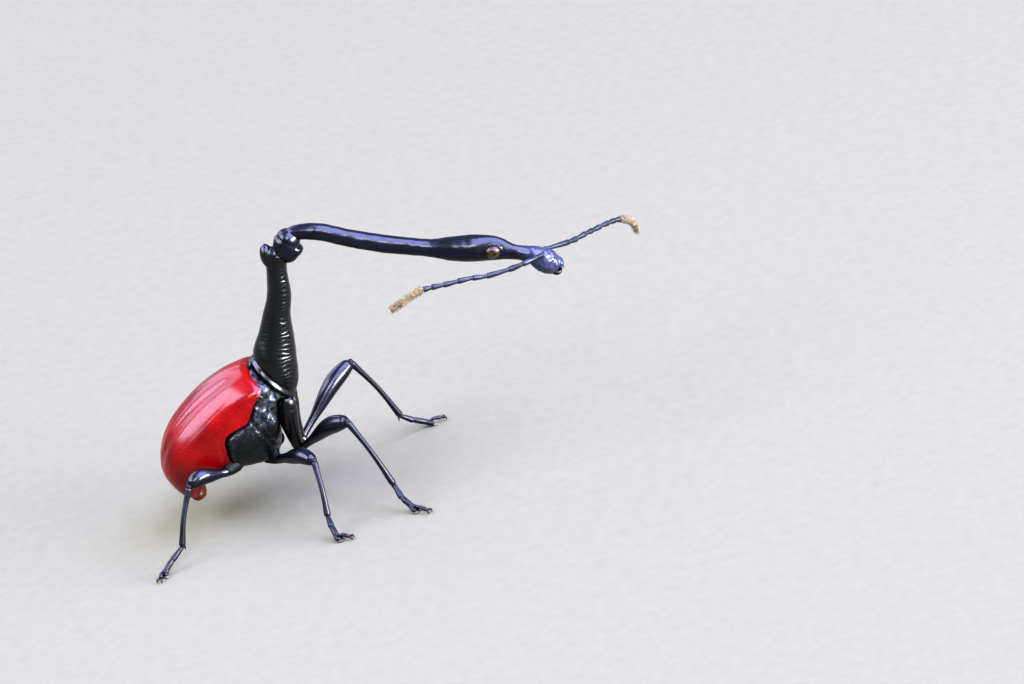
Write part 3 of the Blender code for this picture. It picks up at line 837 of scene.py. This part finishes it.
plates = belly(BELLY_START, BELLY_END, BELLY_PLATES)
piece = make_piece("belly_plates", [plates], "belly_plate_shell", "shell_black", "abdomen")
points, normals, faces = fuse([belly(BELLY_END, TAIL_END, 1), egg(TAIL_PLACE, TAIL_RADII)], 0.035, 6)
points = points + normals * (0.02 * noise_at(points, 0.25, 5.0))[:, None]
tail = make_piece("tail_plate", [(points, faces)], "tail_plate_shell", "shell_red")
print(piece.name, len(piece.data.polygons), "faces;", tail.name, len(tail.data.polygons), "faces")

# %% [markdown]
# ## The neck shield
#
# The long black column is the animal's neck shield, drawn out like a lamp post. It has a rolled collar at
# its foot, cross wrinkles about every 0.2 mm, and a knob at the back of its top. The wrinkles could be a
# bump map, but the edge against the light would stay smooth. So column and knob are fused, and every point
# of the skin moves in or out by the wrinkle's height there. The wrinkles wander, and they are deepest where
# front and side meet, as on the beetle.

# %% Neck shield
NECK = (
    (-0.22, 7.28, 1.20, 5.05, 1.10),
    (-0.05, 7.72, 1.62, 5.90, 1.08),
    (0.16, 8.10, 1.84, 6.95, 0.98),
    (0.50, 8.60, 2.02, 8.00, 0.80),
    (0.90, 9.35, 2.16, 9.00, 0.64),
    (1.40, 10.30, 2.50, 10.05, 0.56),
    (1.72, 11.47, 2.68, 11.35, 0.50),
    (1.90, 12.10, 3.05, 12.10, 0.46),
)
KNOB_PLACE = (1.98, 0.0, 12.12)
KNOB_RADII = (0.34, 0.42, 0.60)
NECK_TOP_PLACE = (2.30, 0.0, 12.05)
NECK_TOP_RADII = (0.46, 0.44, 0.46)
COLLAR_PLACE = np.array((-0.22, 0.0, 7.28))
COLLAR_FACING = unit((0.844, 0.0, 0.537))
NECK_WAY = unit((0.31, 0.0, 0.95))
WRINKLE_SPACING = 0.20
WRINKLE_DEPTH = 0.017
WRINKLED_SIDE = unit((0.66, 0.75, 0.0))


def neck_shield():
    """Column, knob and top fused, with wrinkles across and a rolled collar at the foot."""
    angles = np.linspace(0, 2 * math.pi, 72, endpoint=False)
    rings = [flat_ring(row, angles) for row in along(NECK, np.linspace(0, 1, 90))]
    shapes = [loft(np.array(rings)), egg(KNOB_PLACE, KNOB_RADII), egg(NECK_TOP_PLACE, NECK_TOP_RADII)]
    points, normals, faces = fuse(shapes, 0.034, 10)
    off_base = (points - COLLAR_PLACE) @ COLLAR_FACING
    wander = 0.7 * noise_at(points, 0.9, 1.0) + 0.5 * noise_at(points, 0.4, 8.0)
    wave = np.cos(2 * math.pi * (points @ NECK_WAY / WRINKLE_SPACING + wander))
    strength = np.clip(0.6 + 0.9 * noise_at(points * (1, 1, 1.5), 0.45, 7.0), 0, 1.3)
    facing = unit(normals * (1, 1, 0)) * (1, 0, 0) + np.abs(normals) * (0, 1, 0)
    strength = strength * (0.22 + 0.78 * ease(facing @ WRINKLED_SIDE, 0.70, 0.97))
    strength = strength * ease(off_base, 0.25, 0.6) * (1 - ease(points[:, 2], 11.3, 11.8))
    rise = WRINKLE_DEPTH * strength * np.maximum(wave, -0.5)
    rise = rise + 0.09 * swell(off_base, 0.08, 0.09) - 0.035 * swell(off_base, 0.27, 0.07)
    rise = rise + 0.012 * noise_at(points, 0.5, 2.0)
    return points + normals * rise[:, None], faces


piece = make_piece("neck_shield", [neck_shield()], "black_neck_shell", "shell_black", "pronotum")
print(piece.name, len(piece.data.polygons), "faces")

# %% [markdown]
# ## The neck ball
#
# The head turns on a ball at the top of the column, as on a crane's slewing ring. It has a cap like a
# helmet, with a notch in its top and a brim that runs down to the front. A plain egg would show one round
# highlight. Three eggs, fused, give a lumpier form. A raised brim, a groove above it and the notch are then
# pressed into that skin, and they catch the light in patches.

# %% Neck ball
BALL_CENTRE = np.array((3.00, 0.0, 12.42))
BALL_EGGS = (
    ((-0.05, 0, -0.10), (0.62, 0.61, 0.76)),
    ((0.10, 0, 0.20), (0.58, 0.60, 0.60)),
    ((0.24, 0, -0.30), (0.42, 0.50, 0.36)),
)
BRIM_FACING = unit((0.62, 0.0, 0.78))
NOTCH_DEPTH = 0.07


def neck_ball():
    """Three eggs in one skin, with brim, groove and notch."""
    shapes = [egg(BALL_CENTRE + place, radii) for place, radii in BALL_EGGS]
    points, normals, faces = fuse(shapes, 0.026, 14)
    ahead, aside, _ = (points - BALL_CENTRE).T
    notch = swell(aside, 0.0, 0.20) * swell(ahead, 0.12, 0.16) * (normals[:, 2] > 0.3)
    level = (points - BALL_CENTRE) @ BRIM_FACING
    rise = 0.03 * swell(level, 0.10, 0.10) - 0.02 * swell(level, 0.28, 0.08)
    rise = rise - NOTCH_DEPTH * notch + 0.008 * noise_at(points, 0.4, 4.0)
    return points + normals * rise[:, None], faces


piece = make_piece("neck_ball", [neck_ball()], "blue_black_shell", "shell_blue_black", "neck_joint")
print(piece.name, len(piece.data.polygons), "faces")

# %% [markdown]
# ## The long head
#
# From the ball to the jaws the head is one seamless tube: a long thin stretch, a swelling with the eyes, a
# narrow snout and a broad tip where the feelers and jaws sit. One tube through rows of x, z and radius gives
# most of it. Rims for the eyes, made as hoops, and sockets for the feelers could be pieces of their own, but
# they are fused on, so that they grow smoothly out of the cheek.

# %% Places on the head
HEAD = (
    (3.05, 12.74, 0.32),
    (3.62, 12.90, 0.35),
    (4.65, 12.64, 0.40),
    (5.85, 12.00, 0.41),
    (7.40, 11.28, 0.42),
    (9.20, 10.60, 0.41),
    (10.20, 10.28, 0.56),
    (11.20, 10.04, 0.63),
    (12.20, 9.76, 0.57),
    (12.90, 9.40, 0.37),
    (13.40, 9.18, 0.36),
    (13.85, 8.92, 0.46),
    (14.20, 8.62, 0.57),
    (14.50, 8.36, 0.52),
    (14.80, 8.17, 0.36),
)
EYE_PLACE = np.array((12.10, 0.46, 9.80))
EYE_RADII = (0.35, 0.23, 0.28)
EYE_RIM = (0.36, 0.29)
EYE_RIM_SINK = np.array((0, 0.09, 0))
UPRIGHT = np.array(((1, 0, 0), (0, 0, 1), (0, 1, 0)))
FEELER_SOCKET = np.array((14.36, 0.26, 9.02))
SOCKET_RADII = (0.16, 0.13, 0.14)
HEAD_NARROWING = 0.26
SNOUT_TOP = ((14.05, 0.0, 8.90), (0.56, 0.34, 0.34))
SNOUT_LUMPS = (
    ((14.30, 0.30, 8.86), (0.30, 0.22, 0.26)),
    ((14.62, 0.28, 8.42), (0.26, 0.22, 0.26)),
    ((14.30, 0.26, 8.30), (0.28, 0.20, 0.20)),
    ((14.86, 0.14, 8.32), (0.20, 0.18, 0.20)),
)
print("head rows:", len(HEAD), "and snout lumps on each side:", len(SNOUT_LUMPS))

# %% Long head
def hoop(centre, radii, thick, turn, sides=10):
    """A closed ring of wire round an ellipse, as one shape."""
    angle = np.linspace(0, 2 * math.pi, 60, endpoint=False)
    out = np.stack((np.cos(angle), np.sin(angle), 0 * angle), axis=1)
    path = out * np.array((radii[0], radii[1], 0))
    section = np.linspace(0, 2 * math.pi, sides, endpoint=False)[None, :, None]
    rings = path[:, None] + thick * (np.cos(section) * out[:, None] + np.sin(section) * np.array((0, 0, 1)))
    rings = rings @ np.asarray(turn).T + np.asarray(centre)
    index = np.arange(60 * sides).reshape(60, sides)
    ahead, over = np.roll(index, -1, axis=0), np.roll(index, -1, axis=1)
    both = np.roll(ahead, -1, axis=1)
    return rings.reshape(-1, 3), np.stack((index, ahead, both, over), axis=-1).reshape(-1, 4).tolist()


def long_head():
    """Tube, snout, sockets and eye rims in one skin, with a fine seam along the throat."""
    shares = np.linspace(0, 1, 260)
    rows = along(HEAD, shares)
    path = np.stack((rows[:, 0], 0 * rows[:, 0], rows[:, 1]), axis=1)
    tips = np.clip((1 - shares) / 0.02, 0, 1) * np.clip(shares / 0.02, 0, 1)
    size = rows[:, 2] * np.sqrt(1 - (1 - tips) ** 2)
    wide = 1 - HEAD_NARROWING * swell(path[:, 0], 12.2, 0.6) + 0.10 * swell(path[:, 0], 14.2, 0.4)
    shapes = [loft(sweep(path, np.maximum(size, 0.01), 40, wide)), egg(*SNOUT_TOP, turn=tilt(-0.35))]
    for sign in (-1, 1):
        mirror = np.array((1, sign, 1))
        shapes.append(egg(FEELER_SOCKET * mirror, SOCKET_RADII, 16, 10))
        shapes.append(hoop((EYE_PLACE - EYE_RIM_SINK) * mirror, EYE_RIM, 0.07, UPRIGHT))
        for place, radii in SNOUT_LUMPS:
            shapes.append(egg(np.array(place) * mirror, radii, 20, 12))
    points, normals, faces = fuse(shapes, 0.03, 4)
    snout = ease(points[:, 0], 13.2, 14.0)
    rise = 0.014 * noise_at(points, 0.35, 9.0) + 0.035 * snout * noise_at(points, 0.2, 6.0)
    throat = swell(points[:, 1], 0, 0.05) * (normals[:, 2] < 0) * ease(points[:, 0], 9.0, 10.5)
    return points + normals * (rise - 0.03 * throat)[:, None], faces


piece = make_piece("long_head", [long_head()], "blue_black_shell", "shell_blue_black", "head", "rostrum")
print(piece.name, len(piece.data.polygons), "faces")

# %% [markdown]
# ## Eyes and jaws
#
# Each eye is a low dome set in the cheek's rim. The jaws are two short curved blades with a tooth, folded
# below the tip of the snout, and a small lip plate covers their roots. They could be fused with the head,
# but on the beetle they are hard parts with sharp edges of their own, so they stay apart.

# %% Eyes and jaws
JAW_ROUTE = np.array(((14.42, 0.16, 8.02), (14.64, 0.21, 7.93), (14.80, 0.15, 7.93), (14.86, 0.03, 7.95)))
JAW_RADII = (0.10, 0.11, 0.08, 0.02)
LIP_PLACE = (14.88, 0.0, 8.13)
LIP_RADII = (0.16, 0.20, 0.09)
for side, sign in (("left", 1), ("right", -1)):
    mirror = np.array((1, sign, 1))
    eye = egg(EYE_PLACE * mirror, EYE_RADII, 48, 32)
    make_piece("eye_" + side + "_dome", [eye], "eye_lenses", "eye_brown", "eye_" + side)
    jaw = limb(JAW_ROUTE * mirror, JAW_RADII, 16, 24)
    tooth_root = JAW_ROUTE[1] * mirror
    tooth = limb((tooth_root, tooth_root + (0.13, -0.10 * sign, 0.02)), (0.07, 0.02), 12, 12)
    make_piece("jaw_" + side, [jaw, tooth], "claw_horn", "shell_blue_black")
lip = egg(LIP_PLACE, LIP_RADII, turn=tilt(-0.6))
make_piece("lip_plate", [lip], "blue_black_shell", "shell_blue_black")
print("eyes, jaws and lip:", len(PIECES), "pieces so far")

# %% [markdown]
# ## Feelers
#
# A feeler is a stalk, seven beads and a club of three, each bead narrow at its root and full at its end, so
# that it can bend. Beads could be copies of one shape, but their lengths change on the way out, so each
# is lofted on its own stretch of the feeler's route. The ends of the beads are shares of that route, which
# is the same as the solid's.

# %% Routes of the feelers
FEELER_ROUTE = {
    "right": (
        (14.36, -0.30, 9.02),
        (13.53, -1.10, 9.16),
        (12.83, -1.30, 9.12),
        (11.70, -1.65, 9.20),
        (10.90, -1.90, 9.39),
        (9.94, -2.20, 9.51),
        (9.04, -2.45, 9.64),
        (8.47, -2.60, 9.62),
        (7.79, -2.70, 9.39),
        (7.15, -2.75, 9.12),
    ),
    "left": (
        (14.40, 0.30, 9.00),
        (15.24, 1.20, 8.68),
        (15.66, 1.80, 8.50),
        (16.10, 2.40, 8.40),
        (16.48, 2.95, 8.27),
        (17.00, 3.65, 8.12),
        (17.48, 4.30, 7.92),
        (17.82, 4.75, 7.66),
        (18.05, 5.25, 7.25),
        (18.12, 5.65, 6.60),
    ),
}
for side, route in FEELER_ROUTE.items():
    print(side, "feeler:", round(sum(math.dist(a, b) for a, b in zip(route, route[1:])), 2), "mm long")

# %% Feelers
BEAD_PROFILE = np.array((0.70, 0.73, 0.82, 0.94, 1.0, 0.9))
STALK_ENDS = (0.0, 0.135)
STALK_RADII = (0.135,)
THREAD_ENDS = (0.135, 0.235, 0.33, 0.42, 0.50, 0.575, 0.64, 0.70)
THREAD_RADII = (0.14, 0.135, 0.13, 0.13, 0.13, 0.135, 0.14)
CLUB_ENDS = (0.695, 0.79, 0.88, 0.965)
CLUB_RADII = (0.175, 0.20, 0.165)


def beads(route, ends, radii, overlap=0.012):
    """One bead between each pair of ends: a thin root, a full end and a rounded tip."""
    shapes = []
    for start, end, radius in zip(ends[:-1], ends[1:], radii):
        path = along(route, np.linspace(start, end + overlap, 9))
        shapes.append(limb(path, radius * BEAD_PROFILE, 20, 26))
    return shapes


for side, route in FEELER_ROUTE.items():
    stalk = beads(route, STALK_ENDS, STALK_RADII)
    thread = beads(route, THREAD_ENDS, THREAD_RADII)
    club = beads(route, CLUB_ENDS, CLUB_RADII, 0.045)
    feeler, node = "feeler_" + side, "antenna_" + side
    make_piece(feeler + "_stalk", stalk, "feeler_thread", "shell_blue_black", node + "_scape")
    make_piece(feeler + "_thread", thread, "feeler_thread", "shell_blue_black", node + "_funicle")
    make_piece(feeler + "_club", club, "feeler_club_pile", "feeler_tan", node + "_club")
print("feelers:", len(THREAD_RADII), "beads and", len(CLUB_RADII), "club beads each")

# %% [markdown]
# ## Bristles
#
# Short pale sense hairs stand on the feeler clubs and under the feet. Each is a thin spike of nine points,
# rooted in the skin and leaning towards the tip, and all of one place are joined in one mesh. Hair curves
# would be easier to comb, but they can't be exported. A UV map puts each spike where its root is on the
# unrolled limb, so that a baked colour is the colour at its root.

# %% Bristles
BRISTLE_THICKNESS = 0.016
BRISTLE_BEND = 0.25
BRISTLE_LANES = 48
BAKE_PATCH = 0.0015


def bristles(name, path, radius, count, length, slot, seed, toward=None):
    """Spikes round a limb, kept inside the solids' box. Toward keeps the side that faces a direction."""
    draw = np.random.default_rng(seed)
    roots = sweep(path, np.full(len(path), radius), BRISTLE_LANES)
    outward = unit(roots - path[:, None])
    ahead = unit(np.gradient(path, axis=0))
    points, faces, places = [], [], []
    while len(points) < count:
        i, j = draw.integers(2, len(path) - 2), draw.integers(BRISTLE_LANES)
        if toward is not None and outward[i, j] @ toward < 0.3:
            continue
        way = unit(outward[i, j] + ahead[i] * draw.uniform(0.8, 1.5))
        side = unit(np.cross(way, ahead[i]))
        over = np.cross(way, side)
        reach = length * draw.uniform(0.7, 1.2)
        bend = ahead[i] * BRISTLE_BEND * reach
        tip = (roots[i, j] + way * reach + bend + STANDING_PLACE) * MM
        if np.any(tip < cad_box[0]) or np.any(tip > cad_box[1]):
            continue
        rows = []
        for share, thick in ((0.0, 1.0), (0.55, 0.7), (1.0, 0.15)):
            middle = roots[i, j] + way * reach * share + bend * share * share
            for turn in (0.0, 2.1, 4.2):
                off = math.cos(turn) * side + math.sin(turn) * over
                rows.append(middle + BRISTLE_THICKNESS / 2 * thick * off)
        first = 9 * len(points)
        points.append(rows)
        places.append(((j + 0.5) / BRISTLE_LANES, i / len(path)))
        for low in (first, first + 3):
            for a, b in ((0, 1), (1, 2), (2, 0)):
                faces.append([low + a, low + b, low + 3 + b, low + 3 + a])
        faces += [[first + 2, first + 1, first], [first + 6, first + 7, first + 8]]
    piece = make_piece(name, [(np.array(points).reshape(-1, 3), faces)], "pale_bristle", slot)
    layer = piece.data.uv_layers.new(name="OFBake")
    for loop in piece.data.loops:
        spike, corner = divmod(loop.vertex_index, 9)
        across, length_wise = places[spike]
        layer.data[loop.index].uv = (across + BAKE_PATCH * (corner % 3 - 1),
                                     length_wise + BAKE_PATCH * (corner // 3 - 1))
    return piece


for number, (side, route) in enumerate(FEELER_ROUTE.items()):
    path = along(route, np.linspace(CLUB_ENDS[0], CLUB_ENDS[-1] + 0.04, 120))
    piece = bristles("feeler_" + side + "_club_bristles", path, 0.14, 520, 0.13, "feeler_tan", number)
    print(piece.name, len(piece.data.polygons), "faces")

# %% [markdown]
# ## Legs
#
# Each leg is a hip, a club-shaped thigh, a thin shin with a spur, and a foot of four joints with a pair of
# claws. Legs could be thickened to stand out in a small render, but here they are lofted at the beetle's own
# thickness, a shin being only 0.25 mm across. A dark ball of joint skin fills each knee and ankle, as in
# life. The joints' places are the same as the solids'. A row gives where the thigh swings, the knee, the
# ankle, the bend and the pad of the foot, and the claws. Middle and hind hips sit on the chest's own form,
# so the place where their thighs swing is worked out from it.

# %% Leg places
LEG_JOINTS = {
    "fore_right": ((0.68, -0.50, 2.50), (3.67, -3.00, 4.44), (5.03, -3.90, 1.15),
                   (5.28, -4.40, 0.62), (5.77, -4.85, 0.16), (6.55, -5.45, 0.12)),
    "fore_left": ((0.68, 0.50, 2.50), (3.60, 3.10, 4.68), (5.00, 3.80, 1.05),
                  (5.50, 4.00, 0.58), (6.16, 4.20, 0.16), (6.95, 4.55, 0.12)),
    "middle_right": (None, (1.76, -3.60, 3.15), (1.81, -4.90, 0.81),
                     (1.93, -5.40, 0.48), (2.15, -5.95, 0.16), (2.90, -6.20, 0.12)),
    "middle_left": (None, (-1.72, 3.89, 3.60), (-2.20, 4.90, 1.10),
                    (-2.50, 5.45, 0.58), (-2.75, 5.90, 0.16), (-3.00, 6.60, 0.12)),
    "hind_right": (None, (-4.20, -3.60, 3.37), (-5.22, -4.50, 0.90),
                   (-5.80, -4.90, 0.52), (-6.23, -5.30, 0.16), (-6.45, -5.95, 0.12)),
    "hind_left": (None, (-4.13, 3.63, 3.30), (-4.75, 4.55, 0.90),
                  (-5.05, 5.20, 0.50), (-5.30, 5.75, 0.16), (-5.60, 6.35, 0.12)),
}
FORE_HIP_ROOT = np.array((0.78, 0.46, 5.05))
FORE_HIP = (0.46, 0.48, 0.42, 0.33, 0.26)
HIP = (0.34, 0.40, 0.34, 0.28, 0.24)
HIP_PLACES = {"middle": (0.33, 155), "hind": (0.495, 122)}
HIP_DEPTH = 0.08
HIP_REACH = 0.38
print("legs:", ", ".join(LEG_JOINTS))

# %% Hips
def hull_normal(share, angle):
    """The way out of the form at one place of it."""
    step = 0.01
    length = hull(share + step, angle) - hull(share - step, angle)
    around = hull(share, angle + step) - hull(share, angle - step)
    normal = unit(np.cross(around, length))
    centre = (hull(share, 0.0) + hull(share, math.pi)) / 2
    return normal if normal @ (hull(share, angle) - centre) > 0 else -normal


def hip(name, knee):
    """The hip's closed shapes, and the place that the thigh swings from."""
    pair, side = name.split("_")
    sign = 1 if side == "left" else -1
    if pair == "fore":
        root = FORE_HIP_ROOT * (1, sign, 1)
        swing = np.array(LEG_JOINTS[name][0])
        route = (root, root * 0.55 + swing * 0.45 + (-0.10, 0.03 * sign, 0), swing + (0.0, 0, 0.05))
        cone = limb(route, FORE_HIP, 36, 70)
        knot = egg(swing + (0.10, 0, 0.02), (0.25, 0.23, 0.23))
        shoulder = egg(root + (0.02, 0.10 * sign, -0.15), (0.42, 0.36, 0.50))
        points, _, faces = fuse([cone, knot, shoulder], 0.035, 12)
        return [(points, faces)], swing
    share, degrees = HIP_PLACES[pair]
    angle = math.radians(degrees) * sign
    normal = hull_normal(share, angle)
    centre = hull(share, angle) + normal * HIP_DEPTH
    forward = unit(knee - centre)
    swing = centre + forward * HIP_REACH
    route = (centre - normal * 0.40 - forward * 0.50, centre - normal * 0.14, swing + forward * 0.06)
    body = limb(route, HIP, 32, 60)
    points, _, faces = fuse([body, egg(centre - normal * 0.35, (0.46, 0.40, 0.40))], 0.03, 12)
    return [(points, faces)], swing


for pair, (share, degrees) in HIP_PLACES.items():
    print(pair, "left hip faces", np.round(hull_normal(share, math.radians(degrees)), 2))

# %% [markdown]
# ## Thigh, shin and foot
#
# The thigh swells towards the knee, where the muscle is. The shin widens to the ankle and ends in a spur. In
# the foot the first joint is long, the second short, the third has two lobes with pale pads that grip, and
# the last is a slim stalk that carries the claws. Each could be modelled once and posed with bones, but the
# stance is fixed, so one function for each part lofts it between its joints on all six legs.

# %% Thigh and shin
FORE_THIGH = (0.18, 0.17, 0.21, 0.30, 0.38, 0.42, 0.38, 0.26)
THIGH = (0.23, 0.22, 0.27, 0.34, 0.38, 0.38, 0.33, 0.24)
SHIN = (0.17, 0.135, 0.12, 0.125, 0.14, 0.17)
THIGH_ARCH = np.array((0.0, 0.0, 0.12))
SHIN_BOW = 0.12


def thigh(swing, knee, radii):
    """A club that arches up towards the knee, rooted a little inside the hip."""
    root = swing - unit(knee - swing) * 0.12
    low, high = swing * 0.67 + knee * 0.33, swing * 0.33 + knee * 0.67
    return limb((root, low + THIGH_ARCH, high + THIGH_ARCH * 2, knee), radii, 36, 80, 0.5, 1.0)


def shin(swing, knee, ankle):
    """A thin shaft that bows outwards, and the spur on the inner side of its end."""
    away = unit((ankle - swing) * (1, 1, 0))
    bowed = (knee + ankle) / 2 + away * SHIN_BOW
    shaft = limb((knee, bowed, ankle), SHIN, 24, 60)
    down = unit(ankle - knee)
    inward = unit(-away - down * (-away @ down))
    root = ankle - down * 0.08 + inward * 0.08
    route = (root, root + inward * 0.10 + down * 0.10, root + inward * 0.13 + down * 0.22)
    return [shaft, limb(route, (0.05, 0.035, 0.006), 10, 14)]


print("thickest thigh:", 2 * max(FORE_THIGH), "mm")

# %% Foot
def foot(ankle, bend, pad, claw):
    """Closed shapes of a foot: its joints, its pads and its claws."""
    up = np.array((0.0, 0.0, 1.0))
    forward = unit((claw - pad) * (1, 1, 0))
    side = np.cross(up, forward)
    heel = pad * 0.35 + bend * 0.65 + up * 0.03
    low_pad = pad + up * 0.02
    stalk = (low_pad, pad + forward * 0.22 + up * 0.14, claw - forward * 0.20 + up * 0.07)
    joints = [
        limb((ankle, (ankle + bend) / 2, bend), (0.11, 0.12, 0.14, 0.15), 18, 26, 1.0, 0.6),
        limb((bend * 0.8 + ankle * 0.2, heel, low_pad), (0.11, 0.14, 0.12), 18, 22),
        limb(stalk, (0.075, 0.07, 0.11), 16, 24),
    ]
    pads, claws = [], []
    for sign in (-1, 1):
        out = side * sign
        lobe_end = low_pad + forward * 0.20 + out * 0.15 - up * 0.04
        lobe = (heel * 0.6 + low_pad * 0.4, low_pad + out * 0.08, lobe_end)
        joints.append(limb(lobe, (0.11, 0.12, 0.11), 16, 20))
        sole = lobe_end - up * 0.07 - forward * 0.04
        pads.append(egg(sole, (0.13, 0.10, 0.06), 18, 12))
        root = claw - forward * 0.22 + out * 0.03 + up * 0.05
        arch = claw - forward * 0.06 + out * 0.11 + up * 0.06
        point = claw - forward * 0.03 + out * 0.11 - up * 0.09
        claws.append(limb((root, arch, point), (0.055, 0.05, 0.008), 12, 20))
    return joints, pads, claws


print("foot: a long joint, a short one, a lobed one and a stalk, with two pads and two claws")

# %% Six legs

DOWN = np.array((0, 0, -1.0))
for name, places in LEG_JOINTS.items():
    knee, ankle, bend, pad, claw = (np.array(place) for place in places[1:])
    hips, swing = hip(name, knee)
    joints, pads, claws = foot(ankle, bend, pad, claw)
    leg, is_fore = "leg_" + name, name.startswith("fore")
    hip_finish, radii = ("black_neck_shell", FORE_THIGH) if is_fore else ("hip_shell", THIGH)
    club = thigh(swing, knee, radii)
    make_piece(leg + "_hip", hips, hip_finish, "shell_black", leg + "_coxa")
    make_piece(leg + "_thigh", [club], "blue_black_shell", "shell_blue_black", leg + "_femur")
    make_piece(leg + "_shin", shin(swing, knee, ankle), "shin_shell", "shell_blue_black", leg + "_tibia")
    make_piece(leg + "_foot", joints, "shin_shell", "shell_blue_black", leg + "_tarsus")
    make_piece(leg + "_foot_pads", pads, "foot_pad_pile", "shell_blue_black")
    make_piece(leg + "_claws", claws, "claw_horn", "shell_blue_black")
    path = np.linspace(bend, pad, 60) + (0, 0, 0.02)
    seed = sum(name.encode())
    bristles(leg + "_foot_bristles", path, 0.10, 70, 0.09, "shell_blue_black", seed, DOWN)
    skins = [egg(knee, (0.15, 0.15, 0.15), 20, 12), egg(ankle, (0.11, 0.11, 0.11), 16, 10)]
    make_piece(leg + "_joint_skin", skins, "joint_skin", "shell_black")
print("pieces with the legs:", len(PIECES))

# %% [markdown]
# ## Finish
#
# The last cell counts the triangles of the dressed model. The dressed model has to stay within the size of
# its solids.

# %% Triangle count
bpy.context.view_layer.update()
print("triangles:", sum(len(p.data.loops) - 2 * len(p.data.polygons) for p in PIECES))
